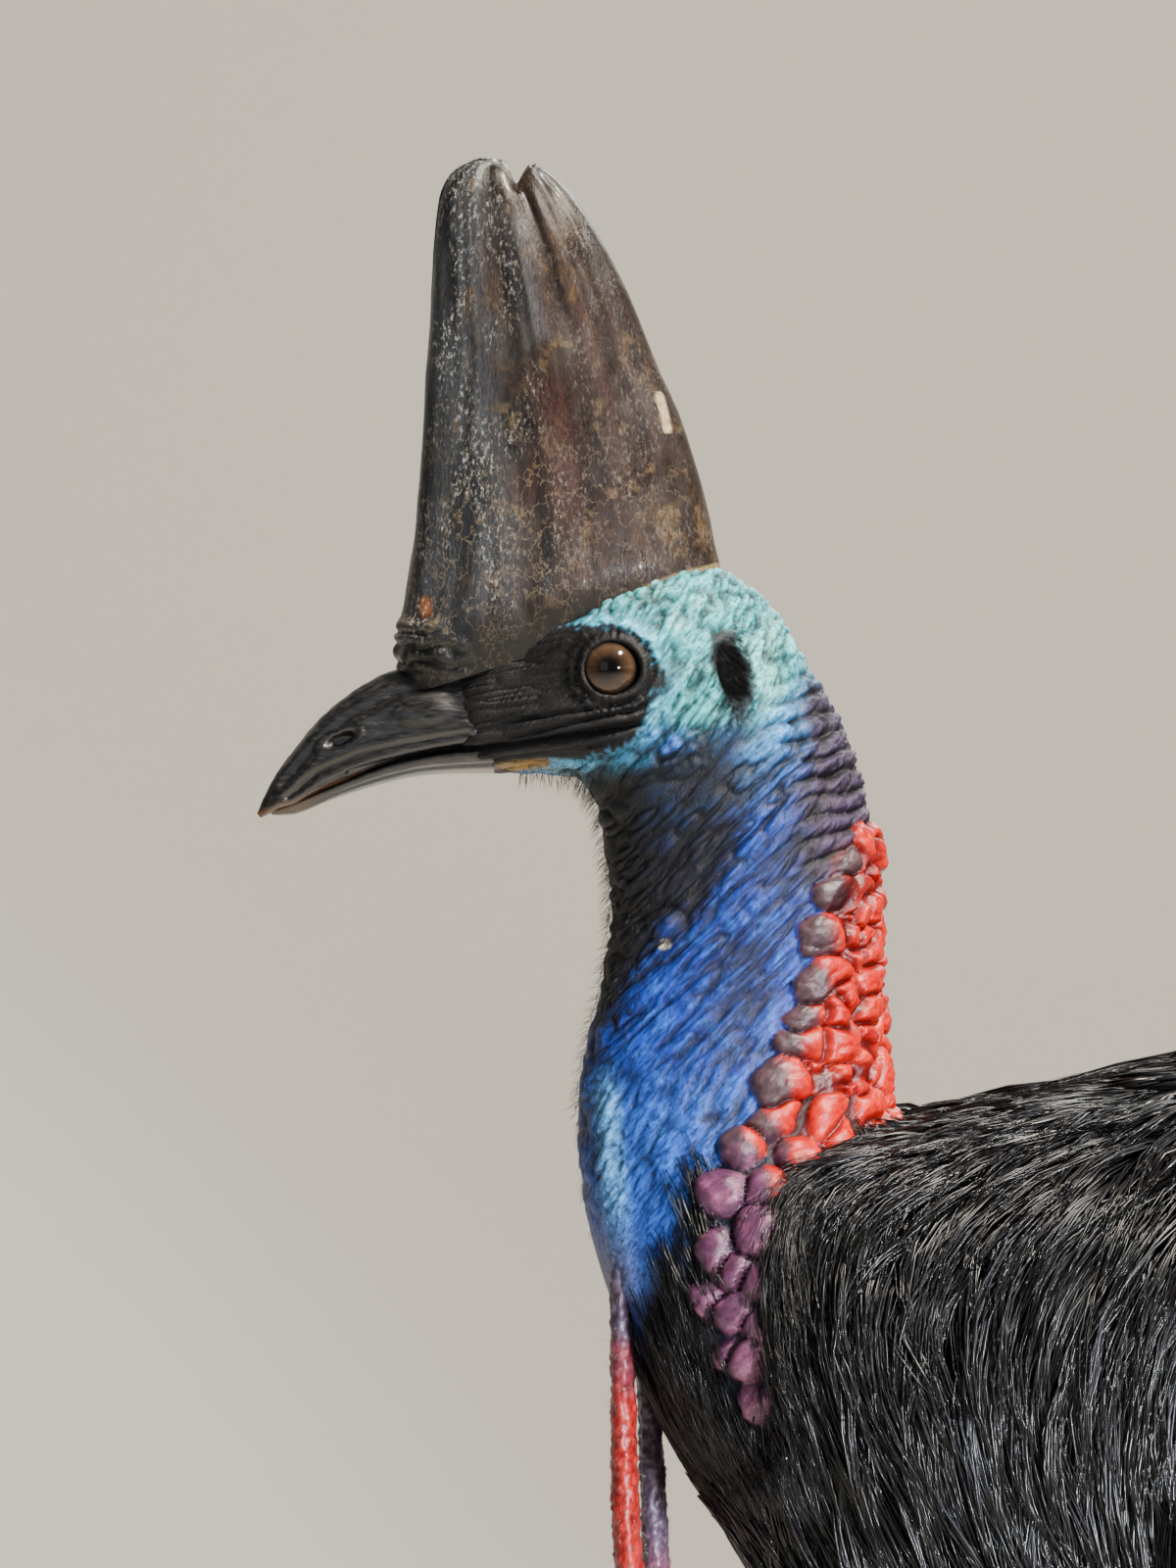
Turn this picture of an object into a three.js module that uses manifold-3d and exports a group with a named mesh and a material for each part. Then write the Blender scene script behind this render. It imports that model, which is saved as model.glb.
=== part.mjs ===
// A southern cassowary, adult, standing still: a life-size model in separate closed solids.
// Millimetres, +Z up, the floor at z = 0. The bird faces -X, and its left side is at -Y.
import * as THREE from 'three';
import { LoftGeometry } from 'three/addons/geometries/LoftGeometry.js';
import { mergeVertices } from 'three/addons/utils/BufferGeometryUtils.js';
import Module from 'manifold-3d';

const wasm = await Module();
wasm.setup();

// Driving sizes, in millimetres.
const GAP = 0.3;             // clear space between touching nodes
const SLIVER = 0.06;         // edges shorter than this are closed up after a cut
const FAR = 3000;            // edge of the boxes that stand for half-spaces
const EYE_RADIUS = 13.5;     // eyeball
const LID_RADIUS = 12.2;     // middle of the rolled edge of the lids
const LID_THICK = 2.2;
const FOOT_SPREAD = 96;      // from the midline to each foot
const FOOT_X = 118;          // where the toes meet, under the bird's weight
const STRIDE = 14;           // the left foot stands this far ahead and the right this far behind
const HEM_Z = 405;           // lower end of the feathered thigh
const SOLE_Z = 50;           // top of the foot

// Each station of the skin is one ring in a plane square to the midline, from its dorsal point to its
// ventral one: [dorsal x, dorsal z, ventral x, ventral z, half width, height of the widest part, squareness].
const SKIN = [
  [-450.7, 1219.0, -438.5, 1182.6, 19, 0.45, 2.0],  // bill base
  [-424.0, 1243.0, -420.3, 1181.6, 27, 0.50, 2.2],  // lores
  [-389.9, 1258.0, -403.2, 1180.8, 35, 0.52, 2.3],  // eyes
  [-359.5, 1265.0, -395.6, 1177.0, 38, 0.50, 2.3],  // temples
  [-338.6, 1260.5, -391.4, 1169.6, 38, 0.50, 2.1],  // ears
  [-319.6, 1244.5, -388.8, 1157.0, 37, 0.50, 2.0],  // back of the head
  [-307.0, 1219.8, -386.9, 1143.8, 36, 0.52, 2.0],  // top of the nape
  [-297.8, 1193.2, -386.1, 1130.5, 36.5, 0.55, 2.0],
  [-293.0, 1162.8, -386.9, 1115.3, 38, 0.56, 2.0],
  [-288.4, 1128.6, -389.9, 1098.2, 40, 0.56, 2.0],
  [-285.7, 1098.2, -394.8, 1079.2, 42, 0.55, 2.0],  // middle of the neck
  [-283.0, 1071.6, -398.3, 1056.4, 46, 0.55, 2.0],
  [-275.0, 1045.0, -397.5, 1029.8, 54, 0.56, 2.0],  // foot of the neck
  [-245.0, 1039.0, -392.6, 1003.0, 68, 0.58, 2.0],
  [-190.0, 1045.0, -380.0, 967.0, 90, 0.60, 2.0],   // shoulders
  [-115.0, 1058.0, -346.0, 900.0, 122, 0.60, 2.0],  // breast
  [-20.0, 1070.0, -262.0, 800.0, 150, 0.58, 2.0],
  [80.0, 1076.0, -130.0, 705.0, 168, 0.56, 2.1],    // deepest part of the trunk
  [180.0, 1064.0, 30.0, 655.0, 170, 0.54, 2.1],     // hips
  [275.0, 1016.0, 190.0, 650.0, 148, 0.52, 2.0],
  [345.0, 935.0, 310.0, 690.0, 108, 0.50, 2.0],     // rump
  [385.0, 830.0, 375.0, 750.0, 45, 0.50, 2.0],
  [393.0, 800.0, 390.0, 775.0, 12, 0.50, 2.0],
];
const FOOT_OF_NECK = 12;     // the station where the plumage begins

// The outside of the hanging plumage, at the skin's own stations from the foot of the neck on.
const COAT = [
  [-273.0, 1047.5, -398.0, 1029.0, 55, 0.56, 2.0],
  [-243.0, 1056.0, -393.0, 1002.0, 72, 0.58, 2.0],
  [-188.0, 1068.0, -382.0, 962.0, 104, 0.58, 2.0],
  [-112.0, 1083.0, -356.0, 915.0, 145, 0.56, 2.0],
  [-15.0, 1098.0, -296.0, 822.0, 180, 0.54, 2.1],
  [85.0, 1105.0, -165.0, 700.0, 202, 0.50, 2.3],
  [190.0, 1094.0, 10.0, 615.0, 212, 0.46, 2.4],
  [298.0, 1050.0, 190.0, 560.0, 200, 0.42, 2.4],
  [396.0, 955.0, 355.0, 515.0, 165, 0.38, 2.3],
  [473.0, 800.0, 464.0, 500.0, 110, 0.36, 2.2],
  [512.0, 650.0, 506.0, 520.0, 45, 0.45, 2.0],
];

// The casque, from its root in the crown up to its worn tip: front edge, rear edge and half thickness.
const CASQUE = [
  [-465.1, 1212.0, -341.0, 1252.0, 31, 0.5, 2.0],
  [-467.0, 1231.2, -343.9, 1267.2, 31, 0.5, 2.0],
  [-462.9, 1257.8, -347.3, 1283.5, 28, 0.5, 2.0],
  [-459.4, 1288.2, -352.7, 1303.4, 25, 0.5, 2.0],
  [-457.2, 1322.4, -361.4, 1328.1, 22, 0.5, 2.0],
  [-454.9, 1356.6, -372.8, 1354.7, 18.5, 0.5, 2.0],
  [-453.4, 1387.0, -386.9, 1385.1, 15, 0.5, 2.0],
  [-450.7, 1405.9, -399.4, 1405.0, 12, 0.5, 2.0],
  [-444.5, 1416.2, -409.8, 1415.6, 8, 0.5, 2.0],
  [-437.0, 1420.0, -417.0, 1418.6, 4, 0.5, 2.0],
];

// The bill, from its tip to its base: culmen and edge of the upper half, edge and keel of the lower one.
const UPPER_BILL = [
  [-522.0, 1166.6, -520.6, 1164.8, 0.9, 0.30, 2.0],
  [-516.4, 1179.0, -514.2, 1167.7, 4.5, 0.25, 2.0],
  [-508.5, 1190.4, -505.8, 1170.8, 8.0, 0.20, 1.9],
  [-497.1, 1204.0, -490.6, 1177.6, 12.0, 0.18, 1.9],
  [-483.0, 1215.2, -471.6, 1184.5, 15.5, 0.18, 1.9],
  [-467.8, 1222.5, -454.5, 1188.6, 18.0, 0.20, 1.9],
  [-446.0, 1225.0, -430.0, 1192.6, 20.5, 0.24, 2.0],
];
const LOWER_BILL = [
  [-517.4, 1167.6, -516.0, 1165.9, 0.9, 0.70, 2.0],
  [-507.7, 1171.1, -506.0, 1166.6, 4.5, 0.80, 2.0],
  [-492.5, 1177.7, -491.0, 1172.6, 8.0, 0.80, 2.0],
  [-471.6, 1186.3, -471.6, 1178.5, 12.0, 0.80, 2.0],
  [-454.5, 1190.5, -454.5, 1181.6, 15.0, 0.80, 2.0],
  [-430.0, 1194.5, -430.0, 1182.2, 18.6, 0.75, 2.0],
];
const NOSTRIL = { x: -489.8, z: 1195.5, long: 7.6, high: 2.9, deep: 5, tilt: 0.4 };
const EYE = { x: -384.2, z: 1223.6 };
const EAR = { x: -338.2, z: 1222.8, half: 6.5, high: 14.2, wall: 1.6, tilt: -0.2 };
const GAPE = { x: -372.0, z: 1202.3 };     // the corner of the mouth

// Lines in the midline plane where one node ends and the next begins, from the upper point to the lower.
const FACE_LINE = [[-450.7, 1224.0], [-438.0, 1178.0]];
const HEAD_LINE = [[-298.0, 1226.0], [-389.0, 1142.0]];
const NAPE_LINE = [[-293.0, 1178.0], [-352.0, 1020.0]];
const COLLAR_LINE = [[-272.0, 1047.0], [-352.0, 1016.0]];
const PLUMAGE_LINE = [[-266.0, 1053.0], [-346.0, 913.0]];
const TAIL_LINE = [[318.0, 1050.0], [408.0, 480.0]];

// Colours and finishes of the parts.
const FINISH = {
  casque: new THREE.MeshStandardMaterial({ color: 0x3b2c22, roughness: 0.42, metalness: 0 }),
  bill: new THREE.MeshStandardMaterial({ color: 0x1d1c1c, roughness: 0.38, metalness: 0 }),
  face: new THREE.MeshStandardMaterial({ color: 0x5fb0ac, roughness: 0.6, metalness: 0 }),
  throat: new THREE.MeshStandardMaterial({ color: 0x1c4794, roughness: 0.6, metalness: 0 }),
  nape: new THREE.MeshStandardMaterial({ color: 0xc9402e, roughness: 0.5, metalness: 0 }),
  collar: new THREE.MeshStandardMaterial({ color: 0x74405a, roughness: 0.5, metalness: 0 }),
  wattle: new THREE.MeshStandardMaterial({ color: 0xc33a35, roughness: 0.5, metalness: 0 }),
  plumage: new THREE.MeshStandardMaterial({ color: 0x0f0f11, roughness: 0.45, metalness: 0 }),
  eye: new THREE.MeshStandardMaterial({ color: 0x59402c, roughness: 0.08, metalness: 0 }),
  ear: new THREE.MeshStandardMaterial({ color: 0x15161a, roughness: 0.7, metalness: 0 }),
  leg: new THREE.MeshStandardMaterial({ color: 0x6f675a, roughness: 0.6, metalness: 0 }),
  claw: new THREE.MeshStandardMaterial({ color: 0x26221e, roughness: 0.35, metalness: 0 }),
  quill: new THREE.MeshStandardMaterial({ color: 0x0b0b0c, roughness: 0.3, metalness: 0 }),
};

// Booleans.

// A closed three.js geometry as a solid: doubles merged, collapsed faces dropped, faces turned outwards.
function solidOf(geometry) {
  const loose = geometry.index ? geometry.toNonIndexed() : geometry;
  const bare = new THREE.BufferGeometry().setAttribute('position', loose.getAttribute('position'));
  const merged = mergeVertices(bare, 1e-3);
  const at = merged.attributes.position.array;
  const kept = [];
  let volume = 0;
  for (let i = 0; i < merged.index.count; i += 3) {
    const [a, b, c] = merged.index.array.slice(i, i + 3);
    if (a === b || b === c || c === a) continue;
    kept.push(a, b, c);
    const [p, q, r] = [a, b, c].map((k) => new THREE.Vector3(at[3 * k], at[3 * k + 1], at[3 * k + 2]));
    volume += p.dot(q.cross(r));
  }
  if (volume < 0) kept.reverse();
  return new wasm.Manifold(new wasm.Mesh({ numProp: 3, vertProperties: at, triVerts: new Uint32Array(kept) }));
}

// The largest closed body of a solid, without hollows, loose scraps or slivers.
function largest(solid) {
  const bodies = solid.decompose().filter((body) => body.volume() > 0);
  return bodies.reduce((best, body) => (body.volume() > best.volume() ? body : best)).simplify(SLIVER);
}

// A solid as a three.js geometry.
function geometryOf(solid) {
  const { numProp, numVert, vertProperties, triVerts } = solid.getMesh();
  const position = new Float32Array(numVert * 3);
  for (let i = 0; i < numVert; i++) {
    position.set(vertProperties.subarray(i * numProp, i * numProp + 3), i * 3);
  }
  const geometry = new THREE.BufferGeometry();
  geometry.setAttribute('position', new THREE.BufferAttribute(position, 3));
  geometry.setIndex(new THREE.BufferAttribute(new Uint32Array(triVerts), 1));
  geometry.computeVertexNormals();
  return geometry;
}

const union = (solids) => wasm.Manifold.union(solids);

// The half-space behind a line of the midline plane, towards the tail, moved back by shift.
function behind([[ax, az], [bx, bz]], shift = 0) {
  const along = new THREE.Vector3(ax - bx, 0, az - bz).normalize();
  const back = new THREE.Vector3(along.z, 0, -along.x);
  const geometry = new THREE.BoxGeometry(FAR, FAR, FAR);
  geometry.applyMatrix4(new THREE.Matrix4().makeBasis(back, new THREE.Vector3(0, 1, 0),
    new THREE.Vector3().crossVectors(back, new THREE.Vector3(0, 1, 0))));
  geometry.translate(ax + back.x * (FAR / 2 + shift), 0, az + back.z * (FAR / 2 + shift));
  return solidOf(geometry);
}

// Shapes.

// One column of a station table at t, on a smooth curve through the stations.
function column(table, k, t) {
  const last = table.length - 1;
  const i = Math.min(Math.floor(t), last - 1);
  const f = t - i;
  const [a, b, c, d] = [i - 1, i, i + 1, i + 2].map((n) => table[Math.max(0, Math.min(last, n))][k]);
  return 0.5 * (2 * b + (c - a) * f + (2 * a - 5 * b + 4 * c - d) * f * f + (3 * b - a - 3 * c + d) * f ** 3);
}

// The point of a table's surface on ring t at turn a: 0 is dorsal, pi/2 the bird's right and pi ventral.
function pointAt(table, t, a, grow = 0) {
  const [dx, dz, vx, vz, half, share, square] = [0, 1, 2, 3, 4, 5, 6].map((k) => column(table, k, t));
  const axis = new THREE.Vector3(dx - vx, 0, dz - vz);
  const depth = axis.length() + 2 * grow;
  axis.normalize();
  const bend = (x) => Math.sign(x) * Math.abs(x) ** (2 / square);
  const rise = bend(Math.cos(a)) * (Math.cos(a) > 0 ? 1 - share : share);
  const point = new THREE.Vector3(vx, 0, vz).addScaledVector(axis, (share + rise) * depth - grow);
  point.y = bend(Math.sin(a)) * (half + grow);
  return point;
}

// A closed solid through rings of points, each ring turned to wind outwards.
function skinOver(sections) {
  const middle = (ring) => ring.reduce((sum, p) => sum.add(p), new THREE.Vector3()).divideScalar(ring.length);
  const [first, second] = [middle(sections[0]), middle(sections[1])];
  const normal = new THREE.Vector3();
  sections[0].forEach((p, i, ring) => {
    const next = ring[(i + 1) % ring.length];
    normal.add(p.clone().sub(first).cross(next.clone().sub(first)));
  });
  const winding = normal.dot(second.sub(first)) > 0 ? sections : sections.map((ring) => ring.slice().reverse());
  return solidOf(new LoftGeometry(winding, { capStart: true, capEnd: true }));
}

// A closed loft through rings of a table from one station to another.
function loft(table, { from = 0, to = table.length - 1, rings, sides, grow = 0 }) {
  const sections = [];
  for (let i = 0; i <= rings; i++) {
    const t = from + (to - from) * i / rings;
    sections.push(Array.from({ length: sides }, (_, j) => pointAt(table, t, 2 * Math.PI * j / sides, grow)));
  }
  return skinOver(sections);
}

// A rod along a curve whose half width and half height follow the share s of its length. Its flat side
// faces `flat`, and its end is closed by a cap.
function rod(points, { rings, sides, wide, high = wide, flat = new THREE.Vector3(0, 1, 0) }) {
  const curve = new THREE.CatmullRomCurve3(points);
  const sections = [];
  for (let i = 0; i <= rings; i++) {
    const s = i / rings;
    const tangent = curve.getTangentAt(s);
    const side = new THREE.Vector3().crossVectors(tangent, flat).normalize();
    const over = new THREE.Vector3().crossVectors(side, tangent);
    sections.push(Array.from({ length: sides }, (_, j) => {
      const a = 2 * Math.PI * (j + 0.5) / sides;
      return curve.getPointAt(s).addScaledVector(side, Math.cos(a) * wide(s)).addScaledVector(over, Math.sin(a) * high(s));
    }));
  }
  return skinOver(sections);
}

// An egg: a sphere of few faces stretched to its half sizes, turned about Y and set down.
function egg(x, y, z, halves, tilt = 0, across = 12, down = 8) {
  const geometry = new THREE.SphereGeometry(1, across, down);
  geometry.scale(...halves).rotateY(tilt).translate(x, y, z);
  return solidOf(geometry);
}

const vector = (x, y, z) => new THREE.Vector3(x, y, z);

// A number from 0 to 1 that depends only on a counter.
const chance = (n) => {
  const x = Math.sin(n * 127.1 + 11.7) * 43758.5453;
  return x - Math.floor(x);
};

const sides = [['left', -1], ['right', 1]];

// Half width of the skin at a place of the midline plane, found by walking the rings.
function halfWidthAt(table, x, z, from, to) {
  let best = { miss: Infinity, y: 0 };
  for (let t = from; t <= to; t += 0.05) {
    for (let a = 0.1; a < Math.PI; a += 0.05) {
      const p = pointAt(table, t, a);
      const miss = Math.hypot(p.x - x, p.z - z);
      if (miss < best.miss) best = { miss, y: p.y };
    }
  }
  return best.y;
}

// Head.

// The neck and head in one, from the bill's base to the breast.
const body = (grow) => loft(SKIN, { from: 0, to: 15.4, rings: 34, sides: 16, grow });

function headSolids() {
  const flesh = body(0);
  const skull = flesh.intersect(behind(FACE_LINE, GAP / 2)).subtract(behind(HEAD_LINE, -GAP / 2));
  const eyeY = halfWidthAt(SKIN, EYE.x, EYE.z, 1, 4) - 9.6;
  const earY = halfWidthAt(SKIN, EAR.x, EAR.z, 3, 6);
  const lids = sides.map(([, s]) => {
    const ring = new THREE.TorusGeometry(LID_RADIUS, LID_THICK, 5, 12);
    ring.rotateX(Math.PI / 2).translate(EYE.x, s * (eyeY + 8.6), EYE.z);
    return solidOf(ring);
  });
  const rims = sides.map(([, s]) => {
    const ring = new THREE.TorusGeometry(1, 0.22, 4, 9);
    ring.rotateX(Math.PI / 2).scale(EAR.half, 9, EAR.high).rotateY(EAR.tilt).translate(EAR.x, s * (earY - 0.8), EAR.z);
    return solidOf(ring);
  });
  const lips = sides.map(([, s]) => mouthRoll(s));
  const pits = sides.flatMap(([, s]) => [
    egg(EYE.x, s * eyeY, EYE.z, [EYE_RADIUS + GAP, EYE_RADIUS + GAP, EYE_RADIUS + GAP], 0, 12, 8),
    egg(EAR.x, s * earY, EAR.z, [EAR.half, 7, EAR.high], EAR.tilt, 10, 6),
  ]);
  const core = loft(SKIN, { from: 0, to: 6, rings: 7, sides: 10, grow: -3.5 });
  const line = mouthLine().subtract(core);
  const head = largest(union([skull, ...lids, ...rims, ...lips]).subtract(behind(HEAD_LINE, -GAP / 2))
    .intersect(behind(FACE_LINE, GAP / 2)).subtract(union([...pits, line, casqueSolid(GAP)])));
  const parts = { head };
  for (const [name, s] of sides) {
    parts[`eye_${name}`] = egg(EYE.x, s * eyeY, EYE.z, [EYE_RADIUS, EYE_RADIUS, EYE_RADIUS], 0, 12, 8);
    const dish = [EAR.half - GAP, 7 - GAP, EAR.high - GAP];
    const cup = egg(EAR.x, s * earY, EAR.z, dish, EAR.tilt, 10, 6)
      .subtract(egg(EAR.x, s * (earY + 2.2), EAR.z, dish.map((d) => d - EAR.wall), EAR.tilt, 10, 6));
    const outside = new THREE.BoxGeometry(60, 40, 60).translate(EAR.x, s * (earY + 20.4), EAR.z);
    parts[`ear_${name}`] = largest(cup.subtract(solidOf(outside)));
  }
  return parts;
}

// The fold of skin along the mouth's line, from the bill to the gape, on one side.
function mouthRoll(s) {
  const points = [0, 0.35, 0.7, 1].map((f) => {
    const x = -443 + (GAPE.x + 3 + 443) * f;
    const z = 1190.5 + (GAPE.z - 1190.5) * f;
    return vector(x, s * (halfWidthAt(SKIN, x, z, 0, 5) - 1.2), z);
  });
  return rod(points, { rings: 4, sides: 5, wide: () => 2.6, high: () => 3.4, flat: vector(0, s, 0) });
}

// A thin slab along the mouth's line, as wide as the head.
function mouthLine() {
  const shape = new THREE.Shape();
  shape.moveTo(-452, 1189.2);
  shape.quadraticCurveTo(-410, 1195.8, GAPE.x, GAPE.z - 0.2);
  shape.lineTo(GAPE.x, GAPE.z + 0.2);
  shape.quadraticCurveTo(-410, 1197.2, -452, 1190.6);
  const slab = new THREE.ExtrudeGeometry(shape, { depth: 100, bevelEnabled: false, curveSegments: 4 });
  slab.translate(0, 0, -50).rotateX(Math.PI / 2);
  return solidOf(slab);
}

// The casque: a blade that stands on the crown, with a notch worn in its tip.
function casqueSolid(grow = 0) {
  const blade = loft(CASQUE, { rings: 12, sides: 14, grow });
  const notch = new THREE.CylinderGeometry(2.6 - grow, 2.6 - grow, 60, 8);
  notch.scale(1, 1, 1.5).rotateY(0.3).translate(-421.5, 0, 1419.4);
  return blade.subtract(solidOf(notch)).translate([0, 0, -grow]);
}

function billSolids(casque) {
  const cut = behind(FACE_LINE, -GAP / 2);
  const nostrils = sides.map(([, s]) => egg(NOSTRIL.x, s * 11.6, NOSTRIL.z,
    [NOSTRIL.long, NOSTRIL.deep, NOSTRIL.high], -NOSTRIL.tilt, 8, 5));
  const rims = sides.map(([, s]) => {
    const ring = new THREE.TorusGeometry(1, 0.2, 4, 8);
    ring.rotateX(Math.PI / 2).scale(NOSTRIL.long + 0.8, 5, NOSTRIL.high + 0.8).rotateY(-NOSTRIL.tilt)
      .translate(NOSTRIL.x, s * 10.4, NOSTRIL.z);
    return solidOf(ring);
  });
  const upper = loft(UPPER_BILL, { rings: 10, sides: 12 });
  const lower = loft(LOWER_BILL, { rings: 7, sides: 8 });
  return {
    bill_upper: largest(union([upper, ...rims]).subtract(union([cut, casque, ...nostrils]))),
    bill_lower: largest(lower.subtract(union([cut, loft(UPPER_BILL, { rings: 10, sides: 12, grow: GAP })]))),
  };
}

// Neck.

// Rows of bulbs down the back of the neck: the ring, and the turns of the bulbs on each side.
const BULBS = [
  [8.2, [0.45]],
  [8.75, [0, 0.85]],
  [9.35, [0.45]],
  [9.95, [0, 0.92]],
  [10.55, [0.47, 1.05]],
  [11.2, [0, 0.8, 1.28]],
];

// Strings of smaller bulbs down each side of the foot of the neck, in the midline plane.
const STRINGS = [
  [-340, 1019], [-348, 1002], [-329, 1003], [-343, 983], [-351, 966], [-336, 955],
];

// A bulb of soft skin on ring t at turn a of the neck.
function bulb(t, a, n) {
  const at = pointAt(SKIN, t, a, 0.5);
  const size = 1 + 0.3 * (chance(n) - 0.5);
  return egg(at.x, at.y, at.z, [12 * size, 15.5 * size, 9.2 * size], 0.25, 6, 4);
}

// The neck's three nodes, between the head and the plumage.
function neckSolids() {
  const neck = body(0).intersect(behind(HEAD_LINE, GAP / 2)).subtract(behind(PLUMAGE_LINE, -GAP / 2));
  const rear = neck.intersect(behind(NAPE_LINE, GAP / 2));
  const front = body(GAP).subtract(behind(NAPE_LINE, GAP / 2));
  const bulbs = BULBS.flatMap(([t, turns], row) => turns.flatMap((turn, k) => (
    (turn === 0 ? [1] : [-1, 1]).map((s) => bulb(t, s * turn, row * 9 + k * 2 + s)))));
  const beads = STRINGS.flatMap(([x, z], n) => sides.map(([, s]) => {
    const y = s * (halfWidthAt(SKIN, x, z, 10, 15) + 3);
    return egg(x, y, z, [11 + 3 * chance(n), 9, 8.5 + 2 * chance(n + 0.5)], 0.4, 6, 4);
  }));
  const off = union([front, behind(PLUMAGE_LINE, -GAP / 2), body(0).subtract(behind(HEAD_LINE, GAP / 2))]);
  return {
    throat: largest(neck.subtract(behind(NAPE_LINE, -GAP / 2))),
    nape: largest(union([rear, ...bulbs]).subtract(union([off, behind(COLLAR_LINE, -GAP / 2)]))),
    collar: largest(union([rear, ...beads]).subtract(off).intersect(behind(COLLAR_LINE, GAP / 2))),
  };
}

const WATTLES = {
  left: [[-381, -9, 1000], [-382, -13, 950], [-380.5, -15, 910], [-377.5, -16, 872], [-374.5, -16, 854]],
  right: [[-374, 7, 985], [-370, 11, 935], [-368, 13, 895], [-367, 14, 862], [-366.5, 14, 843]],
};

// A wattle: a soft lobe that hangs from the front of the neck and widens towards its tip.
function wattleSolid(path) {
  const taper = (s) => Math.sqrt(Math.max(0.02, 1 - Math.max(0, (s - 0.8) / 0.2) ** 2));
  const wide = (s) => (5 + 3 * s) * taper(s);
  const high = (s) => (6 + 7.5 * s) * taper(s);
  const lobe = rod(path.map((p) => vector(...p)), { rings: 10, sides: 8, wide, high });
  return largest(lobe.subtract(body(GAP)));
}

// Trunk.

// The share of the way from the skin to the feather tips that the solid core of the plumage fills.
const CORE = 0.45;
const LAST_RING = FOOT_OF_NECK + COAT.length - 1.1;

// A point between the skin (depth 0) and the outside of the plumage (depth 1), at turn a of ring t of the skin.
function coatPoint(t, a, depth) {
  return pointAt(SKIN, t, a).lerp(pointAt(COAT, t - FOOT_OF_NECK, a), depth);
}

// Two steps along the surface of the plumage and its outward normal.
function coatFrame(t, a, depth) {
  const here = coatPoint(t, a, depth);
  const alongT = coatPoint(t + 0.02, a, depth).sub(here).divideScalar(0.02);
  const alongA = coatPoint(t, a + 0.02, depth).sub(here).divideScalar(0.02);
  const normal = new THREE.Vector3().crossVectors(alongA, alongT).normalize();
  const middle = coatPoint(t, 0, depth).lerp(coatPoint(t, Math.PI, depth), 0.5);
  if (normal.dot(here.clone().sub(middle)) < 0) normal.negate();
  return { here, alongT, alongA, normal };
}

// The way a feather hangs at a place: back along the spine, down the flank, back and down under the belly.
function lieAt(x, a) {
  const flank = THREE.MathUtils.smoothstep(Math.abs(Math.sin(a)), 0.05, 0.65);
  const under = THREE.MathUtils.smoothstep(-Math.cos(a), -0.1, 0.7);
  const slant = THREE.MathUtils.mapLinear(THREE.MathUtils.clamp(x, -290, 200), -290, 200, -0.3, 0.45);
  const top = vector(1, 0, -0.05).lerp(vector(slant, 0, -1), flank);
  return top.lerp(vector(0.55, 0, -0.8), under).normalize();
}

// One step of a given length along the lie from ring t and turn a.
function stepAlong(t, a, depth, length) {
  const { here, alongT, alongA } = coatFrame(Math.min(t, LAST_RING), a, depth);
  const want = lieAt(here.x, a);
  const [tt, ta, aa] = [alongT.dot(alongT), alongT.dot(alongA), alongA.dot(alongA)];
  const [wt, wa] = [alongT.dot(want), alongA.dot(want)];
  const scale = tt * aa - ta * ta;
  const dt = (wt * aa - wa * ta) / scale;
  const da = (wa * tt - wt * ta) / scale;
  const moved = alongT.multiplyScalar(dt).addScaledVector(alongA, da).length();
  return [t + dt * length / moved, a + da * length / moved];
}

// A lock: a blade of three faces on a path of places, each with its outward normal, that narrows to a tip.
function blade(places, half, ridge) {
  const wide = [0.8, 1, 0.72, 0.04];
  const high = [0.9, 1, 0.8, 0.1];
  const sections = places.map(({ at, normal }, i) => {
    const ahead = places[Math.min(i + 1, 3)].at.clone().sub(places[Math.max(i - 1, 0)].at);
    const side = ahead.cross(normal).normalize().multiplyScalar(half * wide[i]);
    const base = at.clone().addScaledVector(normal, -ridge * 0.5 * high[i]);
    return [base.clone().add(side), base.clone().addScaledVector(normal, ridge * high[i]), base.clone().sub(side)];
  });
  return skinOver(sections);
}

// A lock of the trunk, rooted at ring t and turn a. Past the last ring it hangs straight down.
function trunkLock(t, a, length, half) {
  const droop = 60 + 50 * chance(t * 7 + a);
  const places = [];
  const depths = [CORE, 0.82, 1, 1];
  const lifts = [-14, 0, -2, 2];
  for (let i = 0; i < 4; i++) {
    const { here, normal } = coatFrame(Math.min(t, LAST_RING), a, depths[i]);
    here.addScaledVector(normal, lifts[i]).z -= droop * Math.max(0, t - LAST_RING);
    places.push({ at: here, normal });
    [t, a] = stepAlong(t, a, depths[i], length / 3);
  }
  return blade(places, half, 13);
}

// The plumage: a core that fills part of its depth, and locks rooted in it whose tips reach its outside.
function plumage() {
  const rings = Array.from({ length: 16 }, (_, i) => FOOT_OF_NECK + i / 15 * (COAT.length - 1));
  const core = skinOver(rings.map((t) => Array.from({ length: 14 }, (_, j) => coatPoint(t, 2 * Math.PI * j / 14, CORE))));
  const locks = [];
  LOCKS.forEach(([t, turns], row) => {
    turns.forEach((turn, k) => {
      for (const s of turn === 0 ? [1] : [-1, 1]) {
        const n = row * 40 + k * 2 + (s + 1) / 2;
        const [a, start] = [s * (turn + 0.12 * (chance(n) - 0.5)), t + 0.3 * (chance(n + 0.3) - 0.5)];
        const long = 150 + 70 * Math.min(1, (t - FOOT_OF_NECK) / 3) + 40 * (chance(n + 0.6) - 0.5);
        locks.push(trunkLock(start, a, long, 26 + 16 * Math.min(1, (t - FOOT_OF_NECK) / 3)));
      }
    });
  });
  return union([core, ...locks]);
}

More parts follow.
